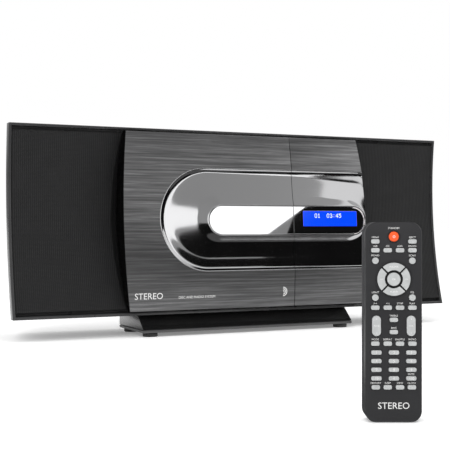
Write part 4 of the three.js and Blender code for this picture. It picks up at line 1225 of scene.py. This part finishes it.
class STEREO_OT_remote(bpy.types.Operator):
    """Make the remote control: shells, keys, rockers and printed words"""

    bl_idname = "stereo.remote"
    bl_label = "Remote control"

    def execute(self, context):
        self.make_shells()
        self.make_keypad()
        self.make_single_keys()
        self.make_words()
        NODES["battery_cover"].data.materials.clear()
        NODES["battery_cover"].data.materials.append(surface("remote_black"))
        return {"FINISHED"}

    def make_shells(self):
        middle = REMOTE_HEIGHT / 2
        face = rounded_plate(
            "remote_face", 0, middle, REMOTE_WIDTH, REMOTE_HEIGHT, REMOTE_CORNER, 0, REMOTE_SPLIT
        )
        round_edges(face, 0.9 * MM, 5)
        wall = 1.4 * MM
        inside = rounded_plate(
            "remote_inside", 0, middle, REMOTE_WIDTH - 2 * wall, REMOTE_HEIGHT - 2 * wall,
            REMOTE_CORNER - wall, wall, REMOTE_SPLIT + 3 * MM,
        )
        combine(face, inside)
        for drop, radius in ((POWER_DROP, 6.4), (PAD_DROP, 18.2)):
            groove = new_bar("groove", "Y", (0, 0, from_top(drop)), radius * REMOTE_UNIT, 0.5 * MM, 96)
            core = new_bar("core", "Y", (0, 0, from_top(drop)), radius * REMOTE_UNIT - 0.3 * MM, 1 * MM, 96)
            combine(face, combine(groove, core))
        room = 0.3 * MM
        for index, (drop, width, height, places, _words) in enumerate(KEY_ROWS):
            for place in places:
                combine(face, self.key(f"room_{index}", drop, place, width, height, room, -5 * MM, 3 * MM))
        for side in (-1, 1):
            place = side * ROCKER_ASIDE
            combine(face, self.key("room_rocker", ROCKER_DROP, place, 8.6, 19.9, room, -5 * MM, 3 * MM))
        for drop, radius in ((POWER_DROP, 4.9), (PAD_DROP, PAD_RADIUS)):
            reach = radius * REMOTE_UNIT + room
            combine(face, new_bar("room_round", "Y", (0, 0, from_top(drop)), reach, 8 * MM, 96))
        web = new_bar("web", "Y", (0, 0.9 * MM, from_top(PAD_DROP)), 16.5 * REMOTE_UNIT, 1.2 * MM, 96)
        shade(face)
        dress(stand_remote(face), surface("remote_black"), "matte_black", "remote", "remote_front")
        dress(stand_remote(shade(web)), surface("matte_black"), "matte_black", "remote")

    def key(self, name, drop, place, width, height, room, y_low, y_high):
        """One key or the room for it."""
        across = place * REMOTE_UNIT
        wide = width * REMOTE_UNIT + 2 * room
        tall = height * REMOTE_UNIT + 2 * room
        corner = min(wide, tall) * (0.49 if width == height or height > 10 else 0.36)
        return rounded_plate(name, across, from_top(drop), wide, tall, corner, y_low, y_high)

    def make_keypad(self):
        keys = []
        for drop, width, height, places, _words in KEY_ROWS:
            for place in places:
                cap = self.key("cap", drop, place, width, height, 0, -KEY_PROUD, 2 * MM)
                keys.append(round_edges(cap, 0.3 * MM, 3))
        pad = join("remote_keys", keys)
        shade(pad)
        dress(stand_remote(pad), surface("key_grey"), "key_grey", "remote", "remote_keypad")

    def make_single_keys(self):
        middle = from_top(PAD_DROP)
        for word, turn in (("right", 0), ("up", 0.5), ("left", 1), ("down", 1.5)):
            arc = round_cap("arc", PAD_DROP, PAD_RADIUS, 128)
            combine(arc, new_bar("core", "Y", (0, 0, middle), 8.9 * REMOTE_UNIT, 12 * MM, 96))
            for side in (-1, 1):
                angle = turn * math.pi + side * math.pi / 4
                normal = (-side * math.sin(angle), 0, side * math.cos(angle))
                gap = Vector(normal) * -0.55 * MM
                keep_side(arc, (gap.x, 0, middle + gap.z), normal)
            round_edges(arc, 0.35 * MM, 3)
            dress(stand_remote(shade(arc)), surface("key_grey"), "key_grey", f"key_{word}", f"key_{word}")
        disc = round_cap("ok_cap", PAD_DROP, 6.5)
        round_edges(disc, 0.4 * MM, 3)
        dress(stand_remote(shade(disc)), surface("key_grey"), "key_grey", "key_ok", "key_ok")
        for name, side in (("left", -1), ("right", 1)):
            place = side * ROCKER_ASIDE
            rocker = self.key("rocker_cap", ROCKER_DROP, place, 8.6, 19.9, 0, -KEY_PROUD, 2 * MM)
            round_edges(rocker, 0.4 * MM, 4)
            body = f"rocker_{name}"
            dress(stand_remote(shade(rocker)), surface("key_grey"), "key_grey", body, body)
            self.lettering(f"rocker_{name}", f"rocker_{name}", (
                ("+", place, 94.6, 3.4),
                ("VOL" if side > 0 else "TUNE", place, ROCKER_DROP, 2.2),
                ("-", place, 107.8, 3.4),
            ))
        cap = round_cap("power_cap", POWER_DROP, 4.9)
        round_edges(cap, 0.75 * MM, 5)
        dress(stand_remote(shade(cap)), surface("key_red"), "key_red", "key_power", "key_power")
        self.lettering("key_power", "key_power", (("I", 0, 13.6, 2.6), ("O", 0, 14.3, 3.6)))
        for word, across, drop, text in (
            ("ok", 0, PAD_DROP, "OK"), ("up", 0, 43.6, "FOLDER"), ("down", 0, 67.8, "ALBUM"),
            ("left", -12.3, PAD_DROP, "<<"), ("right", 12.3, PAD_DROP, ">>"),
        ):
            self.lettering(f"key_{word}", f"key_{word}", ((text, across, drop, 2.4),))

    def lettering(self, name, body, words):
        """Words printed on a key that moves on its own."""
        pieces = [
            new_print(text, across * REMOTE_UNIT, from_top(drop), size * REMOTE_UNIT, -KEY_PROUD - 0.01 * MM)
            for text, across, drop, size in words
        ]
        dress(stand_remote(join(f"{name}_print", pieces)), surface("white_print"), "key_grey", body)

    def make_words(self):
        words = [new_print("STANDBY", 0, from_top(5.9), 2.6 * REMOTE_UNIT, -0.01 * MM)]
        for drop, _width, height, places, texts in KEY_ROWS:
            for place, text in zip(places, texts):
                if text:
                    up = from_top(drop - height / 2 - 1.8)
                    words.append(new_print(text, place * REMOTE_UNIT, up, 2.5 * REMOTE_UNIT, -0.01 * MM))
        words.append(new_print("STEREO", 0, from_top(179.5), 9 * REMOTE_UNIT, -0.01 * MM))
        dress(stand_remote(join("remote_words", words)), surface("white_print"), "matte_black", "remote")
        digits = []
        for row, texts in zip(KEY_ROWS[DIGIT_ROW:], DIGITS):
            for place, text in zip(row[3], texts):
                up = from_top(row[0])
                front = -KEY_PROUD - 0.01 * MM
                digits.append(new_print(text, place * REMOTE_UNIT, up, 3.4 * REMOTE_UNIT, front))
        dress(stand_remote(join("remote_digits", digits)), surface("white_print"), "key_grey", "remote")


# ------------------------------------------------------------------ stage


# Brightness of the reflected surroundings, by sine of the height angle and by side (0 left, 1 right)
SKY_BY_HEIGHT = [
    (0.5, (0.3, 0.3, 0.3)),
    (0.505, (0.004, 0.004, 0.004)),
    (0.532, (0.004, 0.004, 0.004)),
    (0.538, (0.5, 0.5, 0.5)),
    (0.757, (0.5, 0.5, 0.5)),
    (0.78, (0.012, 0.012, 0.012)),
]
SKY_BY_SIDE = [
    (0.0, (0.6, 0.6, 0.6)),
    (0.5, (0.6, 0.6, 0.6)),
    (0.68, (0.5, 0.5, 0.5)),
    (0.735, (0.56, 0.56, 0.56)),
    (0.77, (0.66, 0.66, 0.66)),
    (0.84, (1.0, 1.0, 1.0)),
]
# Cards: brightness and corners, measured from the front of the stereo
CARDS = (
    (
        "window_card",
        2.1,
        ((0.12, -0.6, 0.185), (0.336, -0.6, 0.185), (0.461, -0.6, 0.262), (0.12, -0.6, 0.262)),
    ),
    (
        "wedge_card",
        0.33,
        ((0.25, -0.61, 0.185), (0.381, -0.61, 0.185), (0.421, -0.61, 0.262), (0.25, -0.61, 0.262)),
    ),
    (
        "dark_card",
        0.008,
        (
            (0.34, -0.62, 0.13), (1.1, -0.62, 0.13), (1.1, -0.62, 0.33),
            (0.62, -0.62, 0.315), (0.45, -0.62, 0.28), (0.34, -0.62, 0.27),
        ),
    ),
    ("side_card", 1.45, ((0.46, -0.63, 0.3), (1.2, -0.63, 0.3), (1.2, -0.63, 0.56), (0.6, -0.63, 0.56))),
    ("horizon_card", 0.008, ((-2.5, -0.95, 0), (3.5, -0.95, 0), (3.5, -0.95, 0.2), (-2.5, -0.95, 0.2))),
    (
        "floor_card",
        0.14,
        ((-2.5, -0.95, 0.001), (3.5, -0.95, 0.001), (3.5, -0.3, 0.001), (-2.5, -0.3, 0.001)),
    ),
)


class STEREO_OT_stage(bpy.types.Operator):
    """Set the floor, the studio light and the camera"""

    bl_idname = "stereo.stage"
    bl_label = "Studio"

    def execute(self, context):
        self.make_floor()
        self.make_world(context)
        self.make_lights()
        self.make_cards()
        self.make_camera(context)
        context.scene.view_settings.view_transform = "Standard"
        return {"FINISHED"}

    def make_floor(self):
        """A plain pale floor."""
        clear_selection()
        bpy.ops.mesh.primitive_plane_add(size=40, location=(0, 0, 0))
        floor = bpy.context.object
        floor.name = "floor"
        material, _tree, shader = new_material("floor_paper", (0.98, 0.98, 0.98), 0.9)
        shader.inputs["Emission Color"].default_value = (1, 1, 1, 1)
        shader.inputs["Emission Strength"].default_value = 0.2
        floor.data.materials.append(material)

    def make_world(self, context):
        """White to the eye; to reflections, pale low down and dark overhead."""
        world = bpy.data.worlds.new("studio")
        context.scene.world = world
        world.use_nodes = True
        tree = world.node_tree
        tree.nodes.clear()
        output = add_node(tree, "ShaderNodeOutputWorld")
        path = add_node(tree, "ShaderNodeLightPath")
        coordinates = add_node(tree, "ShaderNodeTexCoord")
        split = add_node(tree, "ShaderNodeSeparateXYZ")
        tree.links.new(coordinates.outputs["Generated"], split.inputs["Vector"])
        heights = ramp(tree, spread(tree, split.outputs["Z"], -1, 1, 0, 1), SKY_BY_HEIGHT)
        sides = ramp(tree, spread(tree, split.outputs["X"], -1, 1, 0, 1), SKY_BY_SIDE)
        sky = add_node(tree, "ShaderNodeMixRGB", blend_type="MULTIPLY")
        sky.inputs["Fac"].default_value = 1
        tree.links.new(heights, sky.inputs["Color1"])
        tree.links.new(sides, sky.inputs["Color2"])
        reflected = add_node(tree, "ShaderNodeBackground")
        tree.links.new(sky.outputs["Color"], reflected.inputs["Color"])
        reflected.inputs["Strength"].default_value = 2
        lit = add_node(tree, "ShaderNodeBackground")
        lit.inputs["Color"].default_value = (1, 1, 1, 1)
        lit.inputs["Strength"].default_value = 0.9
        seen = add_node(tree, "ShaderNodeBackground")
        seen.inputs["Color"].default_value = (1, 1, 1, 1)
        first = add_node(tree, "ShaderNodeMixShader")
        tree.links.new(path.outputs["Is Glossy Ray"], first.inputs["Fac"])
        tree.links.new(lit.outputs["Background"], first.inputs[1])
        tree.links.new(reflected.outputs["Background"], first.inputs[2])
        second = add_node(tree, "ShaderNodeMixShader")
        tree.links.new(path.outputs["Is Camera Ray"], second.inputs["Fac"])
        tree.links.new(first.outputs["Shader"], second.inputs[1])
        tree.links.new(seen.outputs["Background"], second.inputs[2])
        tree.links.new(second.outputs["Shader"], output.inputs["Surface"])

    def make_lights(self):
        """Large soft lights: one overhead and one from the front left."""
        for name, place, aim, size, power, glossy in (
            ("overhead", (0.0, -0.1, 1.9), (0, 0.1, 0.1), 1.6, 11, False),
            ("front_left", (-1.3, -1.3, 1.1), (0, 0.2, 0.1), 1.1, 12, False),
        ):
            clear_selection()
            bpy.ops.object.light_add(type="AREA", location=place)
            light = bpy.context.object
            light.name = name
            light.data.size = size
            light.data.energy = power
            light.visible_glossy = glossy
            light.rotation_euler = (Vector(aim) - Vector(place)).to_track_quat("-Z", "Y").to_euler()

    def make_cards(self):
        """Cards that only reflections see: for the window, and to darken the horizon."""
        for name, tone, corners in CARDS:
            self.make_card(name, tone, corners)

    def make_card(self, name, tone, corners):
        card = mesh_from(name, [Vector((x, FRONT + y, z)) for x, y, z in corners], [range(len(corners))])
        material = bpy.data.materials.new(name)
        material.use_nodes = True
        tree = material.node_tree
        tree.nodes.clear()
        output = add_node(tree, "ShaderNodeOutputMaterial")
        light = add_node(tree, "ShaderNodeEmission")
        light.inputs["Strength"].default_value = tone
        tree.links.new(light.outputs["Emission"], output.inputs["Surface"])
        card.data.materials.append(material)
        card.visible_camera = False
        card.visible_diffuse = False
        card.visible_shadow = False

    def make_camera(self, context):
        """A level camera ahead and to the left of the stereo."""
        turn = math.radians(25.56)
        clear_selection()
        bpy.ops.object.camera_add(
            location=(-0.5119, FRONT - 1.0069, BASE + 0.0957),
            rotation=(math.pi / 2, 0, -turn),
        )
        camera = bpy.context.object
        camera.data.lens = 81.3
        camera.data.sensor_width = 36
        camera.data.clip_start = 0.01
        context.scene.camera = camera


# ------------------------------------------------------------------ panel and registration


class STEREO_PT_sidebar(bpy.types.Panel):
    """Lists the steps that build the stereo"""

    bl_idname = "STEREO_PT_sidebar"
    bl_label = "Slim stereo"
    bl_space_type = "VIEW_3D"
    bl_region_type = "UI"
    bl_category = "Stereo"

    def draw(self, context):
        for group in (context.scene.stereo_settings, context.scene.remote_settings):
            for name in group.__annotations__:
                self.layout.prop(group, name)
        for step in STEPS:
            self.layout.operator(step.bl_idname)


STEPS = (
    STEREO_OT_stage,
    STEREO_OT_front_frame,
    STEREO_OT_grilles,
    STEREO_OT_door,
    STEREO_OT_display_side,
    STEREO_OT_stand,
    STEREO_OT_inner_parts,
    STEREO_OT_remote,
)
CLASSES = (StereoSettings, RemoteSettings, *STEPS, STEREO_PT_sidebar)


def register():
    for cls in CLASSES:
        bpy.utils.register_class(cls)
    bpy.types.Scene.stereo_settings = bpy.props.PointerProperty(type=StereoSettings)
    bpy.types.Scene.remote_settings = bpy.props.PointerProperty(type=RemoteSettings)


def unregister():
    del bpy.types.Scene.remote_settings
    del bpy.types.Scene.stereo_settings
    for cls in reversed(CLASSES):
        bpy.utils.unregister_class(cls)


def main():
    """Builds every piece in order."""
    register()
    for step in STEPS:
        group, name = step.bl_idname.split(".")
        getattr(getattr(bpy.ops, group), name)()


if __name__ == "__main__":
    main()
